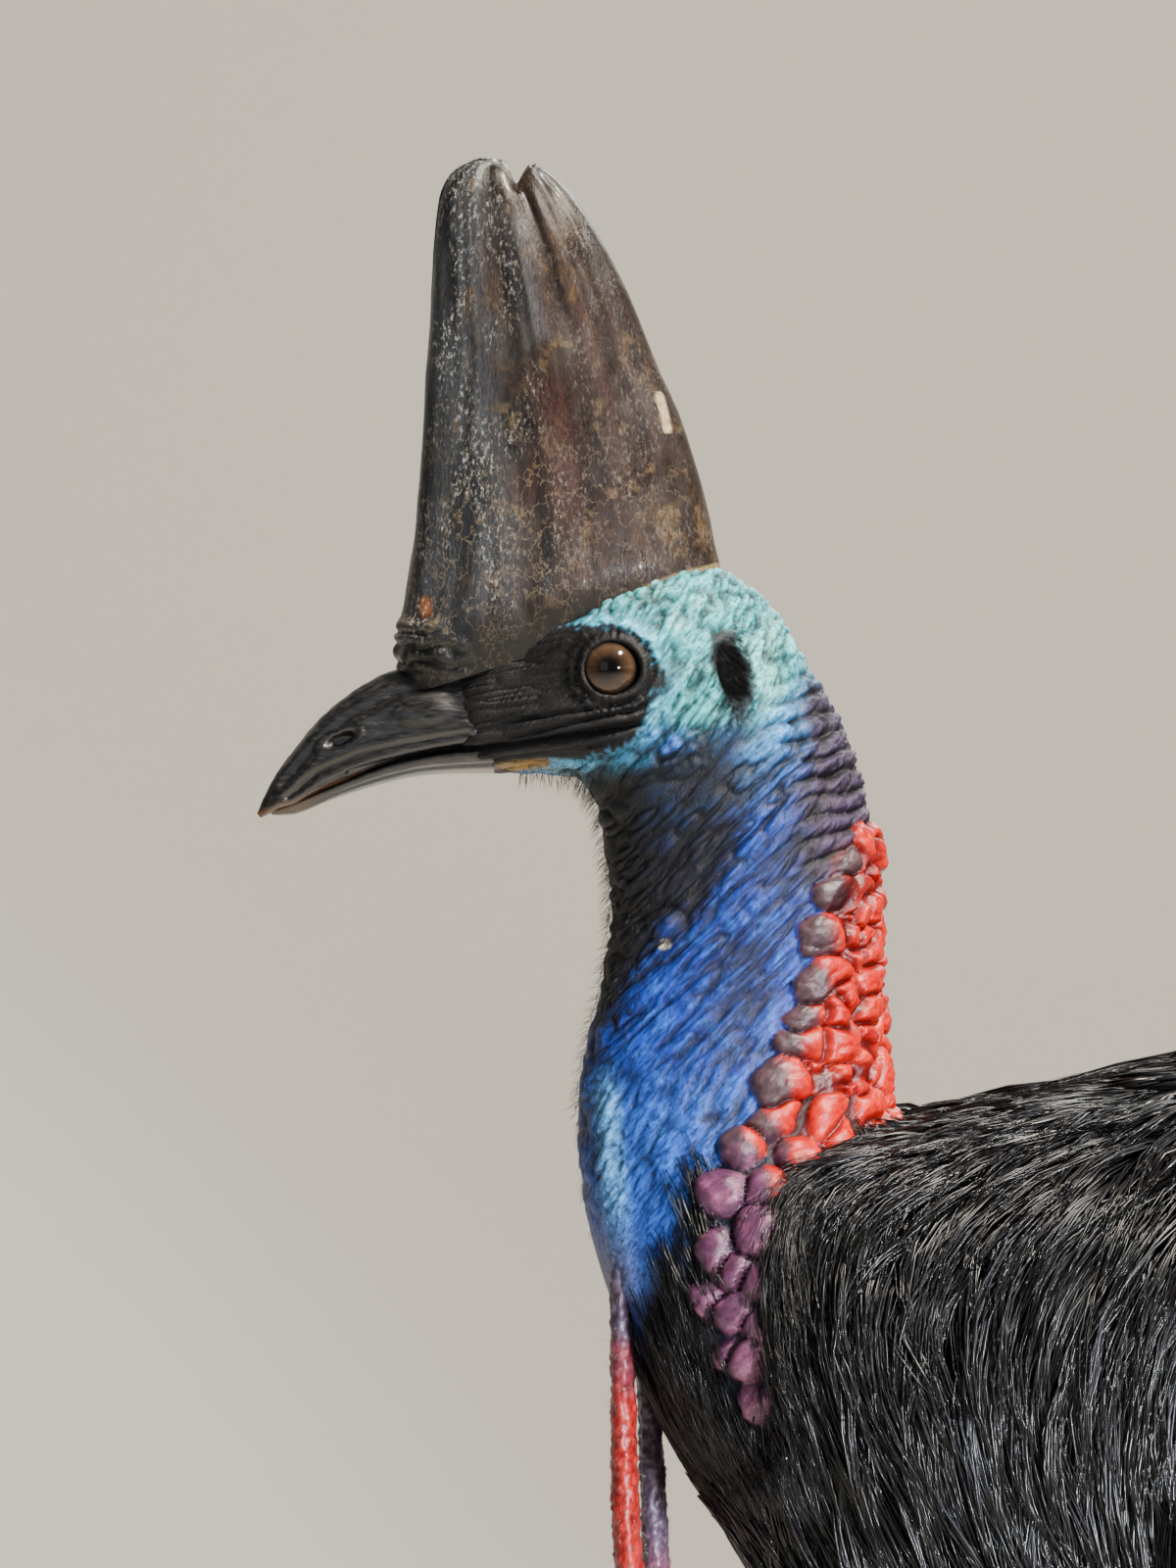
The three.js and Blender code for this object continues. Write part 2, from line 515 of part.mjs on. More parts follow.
// Where the locks of the trunk are rooted: the ring, and the turns from the spine on each side.
const LOCKS = [
  [13.1, [0.9]],
  [13.9, [0, 0.9, 1.7, 2.5]],
  [14.9, [0.35, 1.1, 1.8, 2.6]],
  [15.9, [0, 0.75, 1.45, 2.1, 2.8]],
  [16.9, [0.4, 1.05, 1.75, 2.4]],
  [17.9, [0, 0.7, 1.4, 2.05, 2.75]],
  [18.9, [0.35, 1.0, 1.7]],
  [19.8, [0, 0.7, 1.35, 2.1, 2.8]],
  [20.7, [0.5, 1.3, 2.1]],
];

// The trunk and the tail, with room for the thighs and the roots of the wings.
function trunkSolids(room) {
  const all = plumage().intersect(behind(PLUMAGE_LINE, GAP / 2)).subtract(union(room));
  return {
    torso: largest(all.subtract(behind(TAIL_LINE, -GAP / 2))),
    tail: largest(all.intersect(behind(TAIL_LINE, GAP / 2))),
  };
}

const WING = { t: 4.2, a: 1.75, half: [28, 14, 19] };

// A wing: a stub at the shoulder from which bare quills droop along the flank.
function wingSolids(s) {
  const root = pointAt(COAT, WING.t, WING.a, -4);
  const stub = (grow) => egg(root.x, s * root.y, root.z, WING.half.map((h) => h + grow), 0.5, 10, 6);
  const quills = [0, 1, 2, 3].map((k) => {
    const points = [0, 0.3, 0.65, 1].map((f) => {
      const spread = (k - 1.5) * (0.16 + 0.4 * f);
      const p = pointAt(COAT, WING.t + 0.15 + f * 1.7 - spread * 0.9, WING.a + f * 0.42 + spread * 0.35, f === 0 ? 3 : 9);
      return vector(p.x, s * p.y, p.z);
    });
    return rod(points, { rings: 6, sides: 5, wide: (u) => 2.9 - 1.6 * u });
  });
  return { wing: largest(union([stub(0), ...quills])), room: union([stub(GAP), ...quills.map((quill) => quill)]) };
}

// Legs.

const THIGH = [
  [-26, 800, 88, 36],
  [-12, 705, 104, 60],
  [8, 600, 92, 64],
  [34, 500, 66, 52],
  [55, HEM_Z, 43, 38],
];

// The place on the outside of the thigh at share u of the way down and turn a, and its outward normal.
function thighPlace(s, footX, u, a, grow) {
  const [dx, z, along, across] = [0, 1, 2, 3].map((k) => column(THIGH, k, Math.min(u, 1.06) * (THIGH.length - 1)));
  const normal = vector(Math.cos(a), Math.sin(a), 0);
  return { at: vector(footX + dx + normal.x * (along + grow), s * FOOT_SPREAD + normal.y * (across + grow), z), normal };
}

// The thigh's smooth shape: rings that narrow from the flank to the ankle.
function thighShape(s, footX, grow) {
  const sections = Array.from({ length: 6 }, (_, i) => Array.from({ length: 12 }, (__, j) => {
    const { at } = thighPlace(s, footX, i / 5, 2 * Math.PI * j / 12, grow);
    return i === 5 && grow > 0 ? at.setZ(at.z - 40) : at;
  }));
  return skinOver(sections);
}

// The feathered thigh: a core, and locks down it whose tips reach its outside and hang below its hem.
function thighSolid(s, footX) {
  const locks = [];
  for (const [row, u, count] of [[0, 0.34, 5], [1, 0.62, 4]]) {
    for (let k = 0; k < count; k++) {
      const a = 2 * Math.PI * (k + row * 0.5 + 0.3 * (chance(row * 20 + k + s) - 0.5)) / count;
      const places = [0, 1, 2, 3].map((i) => thighPlace(s, footX, u + i * 0.14, a, [-24, -6, 0, 0][i]));
      locks.push(blade(places, 40 - 10 * row, 12));
    }
  }
  const ankle = new THREE.CylinderGeometry(35, 35, 80, 12).rotateX(Math.PI / 2);
  ankle.translate(footX + THIGH[4][0], s * FOOT_SPREAD, HEM_Z - 40);
  return largest(union([thighShape(s, footX, -11), ...locks]).subtract(solidOf(ankle))
    .intersect(thighShape(s, footX, 7)));
}

// The slice between two heights.
function layer(low, high) {
  return solidOf(new THREE.BoxGeometry(FAR, FAR, high - low).translate(0, 0, (low + high) / 2));
}

// The bare shank, from inside the hem of the thigh into the foot, stepped at the front by its scutes.
function legSolid(s, footX) {
  const curve = new THREE.CatmullRomCurve3([
    vector(footX + 57, s * FOOT_SPREAD, 420), vector(footX + 52, s * FOOT_SPREAD, 330),
    vector(footX + 36, s * FOOT_SPREAD, 170), vector(footX + 17, s * FOOT_SPREAD, 60),
    vector(footX + 8, s * FOOT_SPREAD, 20),
  ]);
  const scutes = 11;
  const sections = [];
  for (let i = 0; i <= scutes; i++) {
    for (const lift of i < scutes ? [0, 1] : [0]) {
      const u = Math.min(1, (i + lift * 0.86) / scutes);
      const knob = 9 * Math.exp(-(((u - 0.1) / 0.1) ** 2)) + 7 * Math.exp(-(((u - 1) / 0.16) ** 2));
      const centre = curve.getPointAt(u);
      sections.push(Array.from({ length: 12 }, (_, j) => {
        const a = 2 * Math.PI * j / 12;
        const front = Math.max(0, -Math.cos(a));
        const r = 18.5 + knob + lift * 1.9 * front;
        return vector(centre.x + Math.cos(a) * r * 1.08, centre.y + Math.sin(a) * r * 0.94, centre.z);
      }));
    }
  }
  return skinOver(sections);
}

// The toes, from the inner to the outer one: turn from straight ahead, length, and length of the claw.
const TOES = {
  inner: { turn: -0.4, long: 100, claw: 96 },
  middle: { turn: 0, long: 152, claw: 46 },
  outer: { turn: 0.5, long: 116, claw: 40 },
};

// One foot with its pads and scutes, and its claws in their sockets, under the end of the leg.
function footSolids(s, footX, leg) {
  const at = (toe, d, z) => vector(footX - d * Math.cos(toe.turn), s * (FOOT_SPREAD + d * Math.sin(toe.turn)), z);
  const radius = (u) => 16.5 - 5 * u;
  const parts = {};
  const flesh = [leg, egg(footX + 12, s * FOOT_SPREAD, 16, [36, 25, 24], 0, 10, 6)];
  const sockets = [];
  for (const [name, toe] of Object.entries(TOES)) {
    const steps = 4;
    const sections = [];
    for (let i = 0; i <= steps; i++) {
      for (const lift of i < steps ? [0, 1] : [0]) {
        const u = Math.min(1, (i + lift * 0.84) / steps);
        const round = Math.sqrt(Math.max(0.2, 1 - Math.max(0, (u - 0.9) / 0.1) ** 2 * 0.7));
        const side = vector(Math.sin(toe.turn), s * Math.cos(toe.turn), 0);
        const pad = 1.2 * Math.max(0, Math.cos(u * 6.6 * Math.PI / 2));
        const centre = at(toe, u * toe.long, radius(u) * 0.9 - 1);
        sections.push(Array.from({ length: 8 }, (_, j) => {
          const a = 2 * Math.PI * (j + 0.5) / 8;
          const r = radius(u) * round + pad + lift * 1.3 * Math.max(0, Math.sin(a));
          return centre.clone().addScaledVector(side, Math.cos(a) * r).add(vector(0, 0, Math.sin(a) * r));
        }));
      }
    }
    flesh.push(skinOver(sections));
    const claw = (grow) => rod([
      at(toe, toe.long - 9 - grow, 10.5), at(toe, toe.long + toe.claw * 0.3, 12), at(toe, toe.long + toe.claw * 0.7, 8.5),
      at(toe, toe.long + toe.claw, 2.4),
    ], { rings: 6, sides: 6, wide: (u) => 8.2 * (1 - u) ** 0.7 + 0.6 + grow, high: (u) => 8.8 * (1 - u) ** 0.7 + 0.6 + grow });
    parts[`claw_${name}`] = largest(claw(0));
    sockets.push(claw(GAP));
  }
  parts.foot = largest(union(flesh).intersect(layer(0, SOLE_Z - GAP / 2)).subtract(union(sockets)));
  return parts;
}

// The bird.

const bird = new THREE.Group();

// One named node of a solid.
function add(name, solid, finish) {
  const mesh = new THREE.Mesh(geometryOf(solid), FINISH[finish]);
  mesh.name = name;
  bird.add(mesh);
}

const casque = casqueSolid(0);
add('casque', casque, 'casque');
const bill = billSolids(casqueSolid(GAP));
add('bill_upper', bill.bill_upper, 'bill');
add('bill_lower', bill.bill_lower, 'bill');
const headParts = headSolids();
add('head', headParts.head, 'face');
for (const [name] of sides) {
  add(`eye_${name}`, headParts[`eye_${name}`], 'eye');
  add(`ear_${name}`, headParts[`ear_${name}`], 'ear');
}
const neck = neckSolids();
add('throat', neck.throat, 'throat');
add('nape', neck.nape, 'nape');
add('collar', neck.collar, 'collar');
for (const [name] of sides) add(`wattle_${name}`, wattleSolid(WATTLES[name]), 'wattle');

const room = [];
for (const [name, s] of sides) {
  const footX = FOOT_X + s * STRIDE;
  room.push(thighShape(s, footX, 7 + GAP));
  add(`thigh_${name}`, thighSolid(s, footX), 'plumage');
  const leg = legSolid(s, footX);
  add(`shank_${name}`, largest(leg.intersect(layer(SOLE_Z + GAP / 2, HEM_Z - GAP))), 'leg');
  const foot = footSolids(s, footX, leg);
  add(`foot_${name}`, foot.foot, 'leg');
  for (const toe of Object.keys(TOES)) add(`claw_${name}_${toe}`, foot[`claw_${toe}`], 'claw');
  const wing = wingSolids(s);
  add(`wing_${name}`, wing.wing, 'quill');
  room.push(wing.room);
}
const trunk = trunkSolids(room);
add('torso', trunk.torso, 'plumage');
add('tail', trunk.tail, 'plumage');

export default bird;
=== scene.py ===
"""The looks of a life-size southern cassowary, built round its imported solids. Sizes are in millimetres
until a mesh is made, +Z is up, the bird faces -X and its left side is at -Y, towards the camera."""

import bpy
import math
import numpy as np
from collections import namedtuple
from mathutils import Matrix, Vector


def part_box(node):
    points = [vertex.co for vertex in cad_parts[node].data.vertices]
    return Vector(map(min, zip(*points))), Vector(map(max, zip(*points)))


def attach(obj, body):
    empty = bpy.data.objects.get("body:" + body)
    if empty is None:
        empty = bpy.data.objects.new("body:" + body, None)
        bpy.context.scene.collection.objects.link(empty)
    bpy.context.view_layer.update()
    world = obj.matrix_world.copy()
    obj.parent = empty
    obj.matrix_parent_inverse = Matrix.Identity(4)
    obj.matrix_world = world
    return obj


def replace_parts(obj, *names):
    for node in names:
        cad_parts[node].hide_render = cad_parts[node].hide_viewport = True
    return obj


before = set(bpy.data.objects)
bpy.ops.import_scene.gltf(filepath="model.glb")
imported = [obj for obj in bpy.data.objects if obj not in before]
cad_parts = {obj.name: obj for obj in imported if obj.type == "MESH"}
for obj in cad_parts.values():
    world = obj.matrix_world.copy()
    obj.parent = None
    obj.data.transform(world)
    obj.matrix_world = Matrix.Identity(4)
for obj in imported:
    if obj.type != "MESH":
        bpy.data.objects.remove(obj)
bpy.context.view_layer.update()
rng = np.random.default_rng(11)
SIDES = (("left", -1), ("right", 1))

# Camera, in metres: a long lens level with the neck, on the bird's left.
LOOK_AT = (-0.3937, 0.0, 1.178)
DISTANCE = 3.7
SEEN_HEIGHT = 0.608
SENSOR = 36
RISE = math.radians(2.0)
camera_data = bpy.data.cameras.new("camera")
camera_data.sensor_width = SENSOR
camera_data.lens = SENSOR * DISTANCE / SEEN_HEIGHT
camera_data.clip_end = 30
camera = bpy.data.objects.new("camera", camera_data)
bpy.context.scene.collection.objects.link(camera)
camera.location = Vector(LOOK_AT) + DISTANCE * Vector((0, -math.cos(RISE), math.sin(RISE)))
camera.rotation_mode = "QUATERNION"
camera.rotation_quaternion = (Vector(LOOK_AT) - camera.location).to_track_quat("-Z", "Y")
bpy.context.scene.camera = camera

# Rings of the skin from the bill's base to the tail: dorsal x and z, ventral x and z, half width,
# height of the widest part as a share of the depth, and squareness.
SKIN = np.array([
    [-450.7, 1219.0, -438.5, 1182.6, 19, 0.45, 2.0],
    [-424.0, 1243.0, -420.3, 1181.6, 27, 0.50, 2.2],
    [-389.9, 1258.0, -403.2, 1180.8, 35, 0.52, 2.3],
    [-359.5, 1265.0, -395.6, 1177.0, 38, 0.50, 2.3],
    [-338.6, 1260.5, -391.4, 1169.6, 38, 0.50, 2.1],
    [-319.6, 1244.5, -388.8, 1157.0, 37, 0.50, 2.0],
    [-305.8, 1220.2, -386.9, 1143.8, 36, 0.52, 2.0],
    [-292.3, 1193.8, -386.1, 1130.5, 36.5, 0.55, 2.0],
    [-284.3, 1162.8, -386.9, 1115.3, 38, 0.56, 2.0],
    [-283.2, 1128.6, -389.9, 1098.2, 40, 0.56, 2.0],
    [-281.7, 1098.2, -394.8, 1079.2, 42, 0.55, 2.0],
    [-280.3, 1071.6, -398.3, 1056.4, 46, 0.55, 2.0],
    [-275.0, 1045.0, -397.5, 1029.8, 54, 0.56, 2.0],
    [-245.0, 1039.0, -392.6, 1003.0, 68, 0.58, 2.0],
    [-190.0, 1045.0, -380.0, 967.0, 90, 0.60, 2.0],
    [-115.0, 1058.0, -346.0, 900.0, 122, 0.60, 2.0],
    [-20.0, 1070.0, -262.0, 800.0, 150, 0.58, 2.0],
    [80.0, 1076.0, -130.0, 705.0, 168, 0.56, 2.1],
    [180.0, 1064.0, 30.0, 655.0, 170, 0.54, 2.1],
    [275.0, 1016.0, 190.0, 650.0, 148, 0.52, 2.0],
    [345.0, 935.0, 310.0, 690.0, 108, 0.50, 2.0],
    [385.0, 830.0, 375.0, 750.0, 45, 0.50, 2.0],
    [393.0, 800.0, 390.0, 775.0, 12, 0.50, 2.0],
])
NECK_END = 12

# The outside of the hanging plumage at the same stations, which hugs the skin as far as the neck's foot.
COAT = np.vstack([SKIN[:NECK_END] + [2.0, 1.0, -2.0, 0.0, 2.0, 0, 0], [
    [-273.0, 1048.5, -399.0, 1028.0, 56, 0.56, 2.0],
    [-243.0, 1056.0, -395.0, 1001.0, 74, 0.58, 2.0],
    [-188.0, 1068.0, -383.0, 961.0, 105, 0.58, 2.0],
    [-112.0, 1083.0, -357.0, 915.0, 145, 0.56, 2.0],
    [-15.0, 1098.0, -296.0, 822.0, 180, 0.54, 2.1],
    [85.0, 1105.0, -165.0, 700.0, 202, 0.50, 2.3],
    [190.0, 1094.0, 10.0, 615.0, 212, 0.46, 2.4],
    [298.0, 1050.0, 190.0, 560.0, 200, 0.42, 2.4],
    [396.0, 955.0, 355.0, 515.0, 165, 0.38, 2.3],
    [473.0, 800.0, 464.0, 500.0, 110, 0.36, 2.2],
    [512.0, 650.0, 506.0, 520.0, 45, 0.45, 2.0],
]])

CASQUE = np.array([
    [-465.1, 1212.0, -341.0, 1252.0, 24, 0.5, 2.0],
    [-467.0, 1231.2, -343.9, 1267.2, 29, 0.5, 2.0],
    [-462.9, 1257.8, -347.3, 1283.5, 28, 0.5, 2.0],
    [-459.4, 1288.2, -352.7, 1303.4, 25, 0.5, 2.0],
    [-457.2, 1322.4, -361.4, 1328.1, 22, 0.5, 2.0],
    [-454.9, 1356.6, -372.8, 1354.7, 18.5, 0.5, 2.0],
    [-453.4, 1387.0, -386.9, 1385.1, 15, 0.5, 2.0],
    [-450.7, 1405.9, -399.4, 1405.0, 12, 0.5, 2.0],
    [-444.5, 1416.2, -409.8, 1415.6, 8, 0.5, 2.0],
    [-437.0, 1419.6, -413.0, 1417.4, 5, 0.5, 2.0],
    [-435.5, 1420.6, -413.6, 1418.5, 0.4, 0.5, 2.0],
])
UPPER_BILL = np.array([
    [-522.0, 1166.6, -520.6, 1164.8, 0.9, 0.30, 2.0],
    [-516.4, 1179.0, -514.2, 1167.7, 4.5, 0.25, 2.0],
    [-508.5, 1190.4, -505.8, 1170.8, 8.0, 0.20, 1.9],
    [-497.1, 1204.0, -490.6, 1177.6, 12.0, 0.18, 1.9],
    [-483.0, 1215.2, -471.6, 1184.5, 15.5, 0.18, 1.9],
    [-467.8, 1222.5, -454.5, 1188.6, 18.0, 0.20, 1.9],
    [-446.0, 1225.0, -430.0, 1192.6, 20.5, 0.24, 2.0],
])
LOWER_BILL = np.array([
    [-517.4, 1167.6, -516.0, 1165.9, 0.9, 0.70, 2.0],
    [-507.7, 1171.1, -506.0, 1166.6, 4.5, 0.80, 2.0],
    [-492.5, 1177.7, -491.0, 1172.6, 8.0, 0.80, 2.0],
    [-471.6, 1186.3, -471.6, 1178.5, 12.0, 0.80, 2.0],
    [-454.5, 1190.5, -454.5, 1181.6, 15.0, 0.80, 2.0],
    [-430.0, 1194.5, -430.0, 1182.2, 18.6, 0.75, 2.0],
])
EYE = (-384.2, 1223.6)
EAR = (-338.2, 1222.8)


# Sums over whole arrays.

def column(table, k, t):
    """Column k of a station table at the real stations t, on the cubic whose slope at each station is half
    the difference of the stations beside it."""
    last = len(table) - 1
    i = np.clip(np.floor(t).astype(int), 0, last - 1)
    f = t - i
    a, b, c, d = (table[np.clip(i + s, 0, last), k] for s in (-1, 0, 1, 2))
    square = (2 * a - 5 * b + 4 * c - d) * f * f
    cube = (3 * b - a - 3 * c + d) * f ** 3
    return 0.5 * (2 * b + (c - a) * f + square + cube)


def ring_point(table, t, a, grow=0.0):
    """Points at turn a of rings t. A ring lies in the plane through its dorsal and ventral points and is a
    superellipse: height cos(a) and width sin(a), each to the power 2 / squareness, above and below its widest
    part."""
    dx, dz, vx, vz, half, share, square = (column(table, k, t) for k in range(7))
    depth = np.hypot(dx - vx, dz - vz)
    ux, uz = (dx - vx) / depth, (dz - vz) / depth
    depth = depth + 2 * grow

    def bend(x):
        return np.sign(x) * np.abs(x) ** (2 / square)

    rise = bend(np.cos(a)) * np.where(np.cos(a) > 0, 1 - share, share)
    up = (share + rise) * depth - grow
    return np.stack([vx + ux * up, bend(np.sin(a)) * (half + grow), vz + uz * up], axis=-1)


def unit(v):
    """Vectors divided by their lengths."""
    return v / np.maximum(np.linalg.norm(v, axis=-1, keepdims=True), 1e-9)


def ring_normal(table, t, a):
    """The outward normal at turn a of rings t: the cross product of two short steps along the surface."""
    e = 0.01
    along = ring_point(table, t + e, a) - ring_point(table, t - e, a)
    around = ring_point(table, t, a + e) - ring_point(table, t, a - e)
    return unit(np.cross(around, along)) * -1.0


def even_stations(table, start, end, step):
    """Stations from start to end whose rings are about step apart on the longer of the dorsal and ventral
    lines."""
    t = np.linspace(start, end, 2000)
    d = [np.hypot(np.diff(column(table, k, t)), np.diff(column(table, k + 1, t))) for k in (0, 2)]
    far = np.concatenate([[0], np.cumsum(np.maximum(*d))])
    return np.interp(np.linspace(0, far[-1], max(4, int(far[-1] / step))), far, t)


def smooth(x, low, high):
    """0 below low, 1 above high and a smooth cubic between."""
    s = np.clip((x - low) / (high - low), 0, 1)
    return s * s * (3 - 2 * s)


def bump(x, middle, width):
    """A bell curve of height 1."""
    return np.exp(-(((x - middle) / width) ** 2))


def scatter(i, j, k, seed):
    """A number from 0 to 1 for each whole triple, by mixing its bits."""
    h = (i * 73856093) ^ (j * 19349663) ^ (k * 83492791) ^ (seed * 668265263)
    h = ((h ^ (h >> 13)) * 1274126177) & 0xFFFFFFFF
    return ((h ^ (h >> 16)) & 0xFFFF) / 65535.0


def noise(p, size, seed=0):
    """Value noise: random numbers at the corners of a lattice of the given size, blended by smooth cubics."""
    q = p / size
    i = np.floor(q).astype(np.int64)
    f = q - i
    f = f * f * (3 - 2 * f)
    total = 0.0
    for a in (0, 1):
        for b in (0, 1):
            for c in (0, 1):
                w = (f[..., 0] if a else 1 - f[..., 0]) * (f[..., 1] if b else 1 - f[..., 1])
                w = w * (f[..., 2] if c else 1 - f[..., 2])
                total = total + w * scatter(i[..., 0] + a, i[..., 1] + b, i[..., 2] + c, seed)
    return total


def cells(p, size, seed=0):
    """Distance to the nearest of the random points in a lattice, one in each cell, as a share of the cell's
    size."""
    q = p / size
    i = np.floor(q).astype(np.int64)
    best = np.full(q.shape[:-1], 9.0)
    for a in (-1, 0, 1):
        for b in (-1, 0, 1):
            for c in (-1, 0, 1):
                j = [i[..., 0] + a, i[..., 1] + b, i[..., 2] + c]
                d = sum((j[n] + scatter(*j, seed + 7 * n + 1) - q[..., n]) ** 2 for n in range(3))
                best = np.minimum(best, d)
    return np.sqrt(best)


def inside(x, z, outline, soft):
    """1 inside an outline of the side view and 0 outside, across a soft edge, from the signed distance to
    its lines."""
    pts = np.array(outline, float)
    far = np.full(x.shape, 1e9)
    odd = np.zeros(x.shape, bool)
    for (ax, az), (bx, bz) in zip(pts, np.roll(pts, -1, 0)):
        ex, ez = bx - ax, bz - az
        s = np.clip(((x - ax) * ex + (z - az) * ez) / (ex * ex + ez * ez), 0, 1)
        far = np.minimum(far, np.hypot(x - ax - s * ex, z - az - s * ez))
        crosses = (az > z) != (bz > z)
        odd ^= crosses & (x < ax + (z - az) * ex / (ez if ez else 1e-9))
    return smooth(np.where(odd, far, -far), -soft, soft)


def line_distance(x, z, line):
    """Distance in the side view from a broken line, and how far along it, from 0 to 1."""
    pts = np.array(line, float)
    far = np.full(x.shape, 1e9)
    place = np.zeros(x.shape)
    for n, ((ax, az), (bx, bz)) in enumerate(zip(pts[:-1], pts[1:])):
        ex, ez = bx - ax, bz - az
        s = np.clip(((x - ax) * ex + (z - az) * ez) / (ex * ex + ez * ez), 0, 1)
        d = np.hypot(x - ax - s * ex, z - az - s * ez)
        place = np.where(d < far, (n + s) / (len(pts) - 1), place)
        far = np.minimum(far, d)
    return far, place


def wrinkles(p, angle, short, long, seed):
    """Creases that run at an angle of the side view: noise stretched along it, folded about its middle into
    valleys of depth 1 that meet in sharp lines."""
    c, s = math.cos(math.radians(angle)), math.sin(math.radians(angle))
    q = np.stack([(p[..., 0] * c + p[..., 2] * s) / long, (p[..., 2] * c - p[..., 0] * s) / short,
                  p[..., 1] / (short * 2.5)], axis=-1)
    warp = noise(q * 0.5, 1.0, seed + 5) * 2.2
    q = q + warp[..., None] * np.array([0.0, 0.6, 0.3])
    fold = 1 - np.abs(2 * noise(q, 1.0, seed) - 1)
    return -fold ** 3


# Meshes.

def linear(code):
    """A colour written as six hexadecimal digits, in linear light."""
    c = np.array([int(code[i:i + 2], 16) / 255 for i in (0, 2, 4)])
    return np.where(c <= 0.04045, c / 12.92, ((c + 0.055) / 1.055) ** 2.4)


def make(name, verts, faces, look, slot, **points):
    """A mesh from points in millimetres and a list of arrays of faces, each array with faces of one size.
    Keyword arguments are numbers or colours for each point, or places on the UV map."""
    mesh = bpy.data.meshes.new(name)
    verts = np.asarray(verts, np.float32).reshape(-1, 3) * 0.001
    mesh.vertices.add(len(verts))
    mesh.vertices.foreach_set("co", verts.ravel())
    faces = [np.asarray(f, np.int32) for f in faces]
    loops = np.concatenate([f.ravel() for f in faces])
    sizes = np.concatenate([np.full(len(f), f.shape[1], np.int32) for f in faces])
    starts = np.concatenate([[0], np.cumsum(sizes)[:-1]]).astype(np.int32)
    mesh.loops.add(len(loops))
    mesh.loops.foreach_set("vertex_index", loops)
    mesh.polygons.add(len(sizes))
    mesh.polygons.foreach_set("loop_start", starts)
    mesh.polygons.foreach_set("use_smooth", np.ones(len(sizes), bool))
    mesh.update(calc_edges=True)
    for key, value in points.items():
        value = np.asarray(value, np.float32)
        if key == "uv":
            layer = mesh.uv_layers.new(name="OFBake")
            layer.data.foreach_set("uv", value.reshape(-1, 2)[loops].ravel())
        elif value.ndim > 1 and value.shape[-1] == 3:
            layer = mesh.attributes.new(key, "FLOAT_COLOR", "POINT")
            colours = np.c_[value.reshape(-1, 3), np.ones(len(verts))].astype(np.float32)
            layer.data.foreach_set("color", colours.ravel())
        else:
            layer = mesh.attributes.new(key, "FLOAT", "POINT")
            layer.data.foreach_set("value", value.ravel())
    mesh.materials.append(look.made)
    obj = bpy.data.objects.new(name, mesh)
    bpy.context.scene.collection.objects.link(obj)
    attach(obj, "root")
    return obj


def grid_faces(rows, cols, flip=False):
    """Quads of a grid whose columns close into a ring, and a fan of triangles that closes each end on an
    added point."""
    i, j = np.meshgrid(np.arange(rows - 1), np.arange(cols), indexing="ij")
    k = (j + 1) % cols
    quads = np.stack([i * cols + j, i * cols + k, (i + 1) * cols + k, (i + 1) * cols + j], -1).reshape(-1, 4)
    c = np.arange(cols)
    d = (c + 1) % cols
    first = np.stack([np.full(cols, rows * cols), d, c], -1)
    base = (rows - 1) * cols
    last = np.stack([np.full(cols, rows * cols + 1), base + c, base + d], -1)
    tris = np.vstack([first, last])
    if flip:
        quads, tris = quads[:, ::-1], tris[:, ::-1]
    return [quads, tris]


def tube(name, grid, look, slot, flip=False, sink=0.0, **points):
    """A closed mesh over a grid of points: rows of rings, each end closed on the middle of its ring, the last
    one sunk by some millimetres."""
    rows, cols = grid.shape[:2]
    verts = np.vstack([grid.reshape(-1, 3), grid[0].mean(0), grid[-1].mean(0) - [0, 0, sink]])
    more = {}
    for key, value in points.items():
        flat = value.reshape(rows * cols, -1)
        flat = np.vstack([flat, flat[:cols].mean(0), flat[-cols:].mean(0)])
        more[key] = flat if flat.shape[1] > 1 else flat[:, 0]
    return make(name, verts, grid_faces(rows, cols, flip), look, slot, **more)


class Paint:
    """Colour over an array of points, laid on in layers in linear light."""

    def __init__(self, tint):
        self.tint = tint

    def lay(self, mask, code):
        """Moves the colour towards another one, by a share from 0 to 1 at each point."""
        self.tint = self.tint + (linear(code) - self.tint) * np.clip(mask, 0, 1)[..., None]


# Materials.

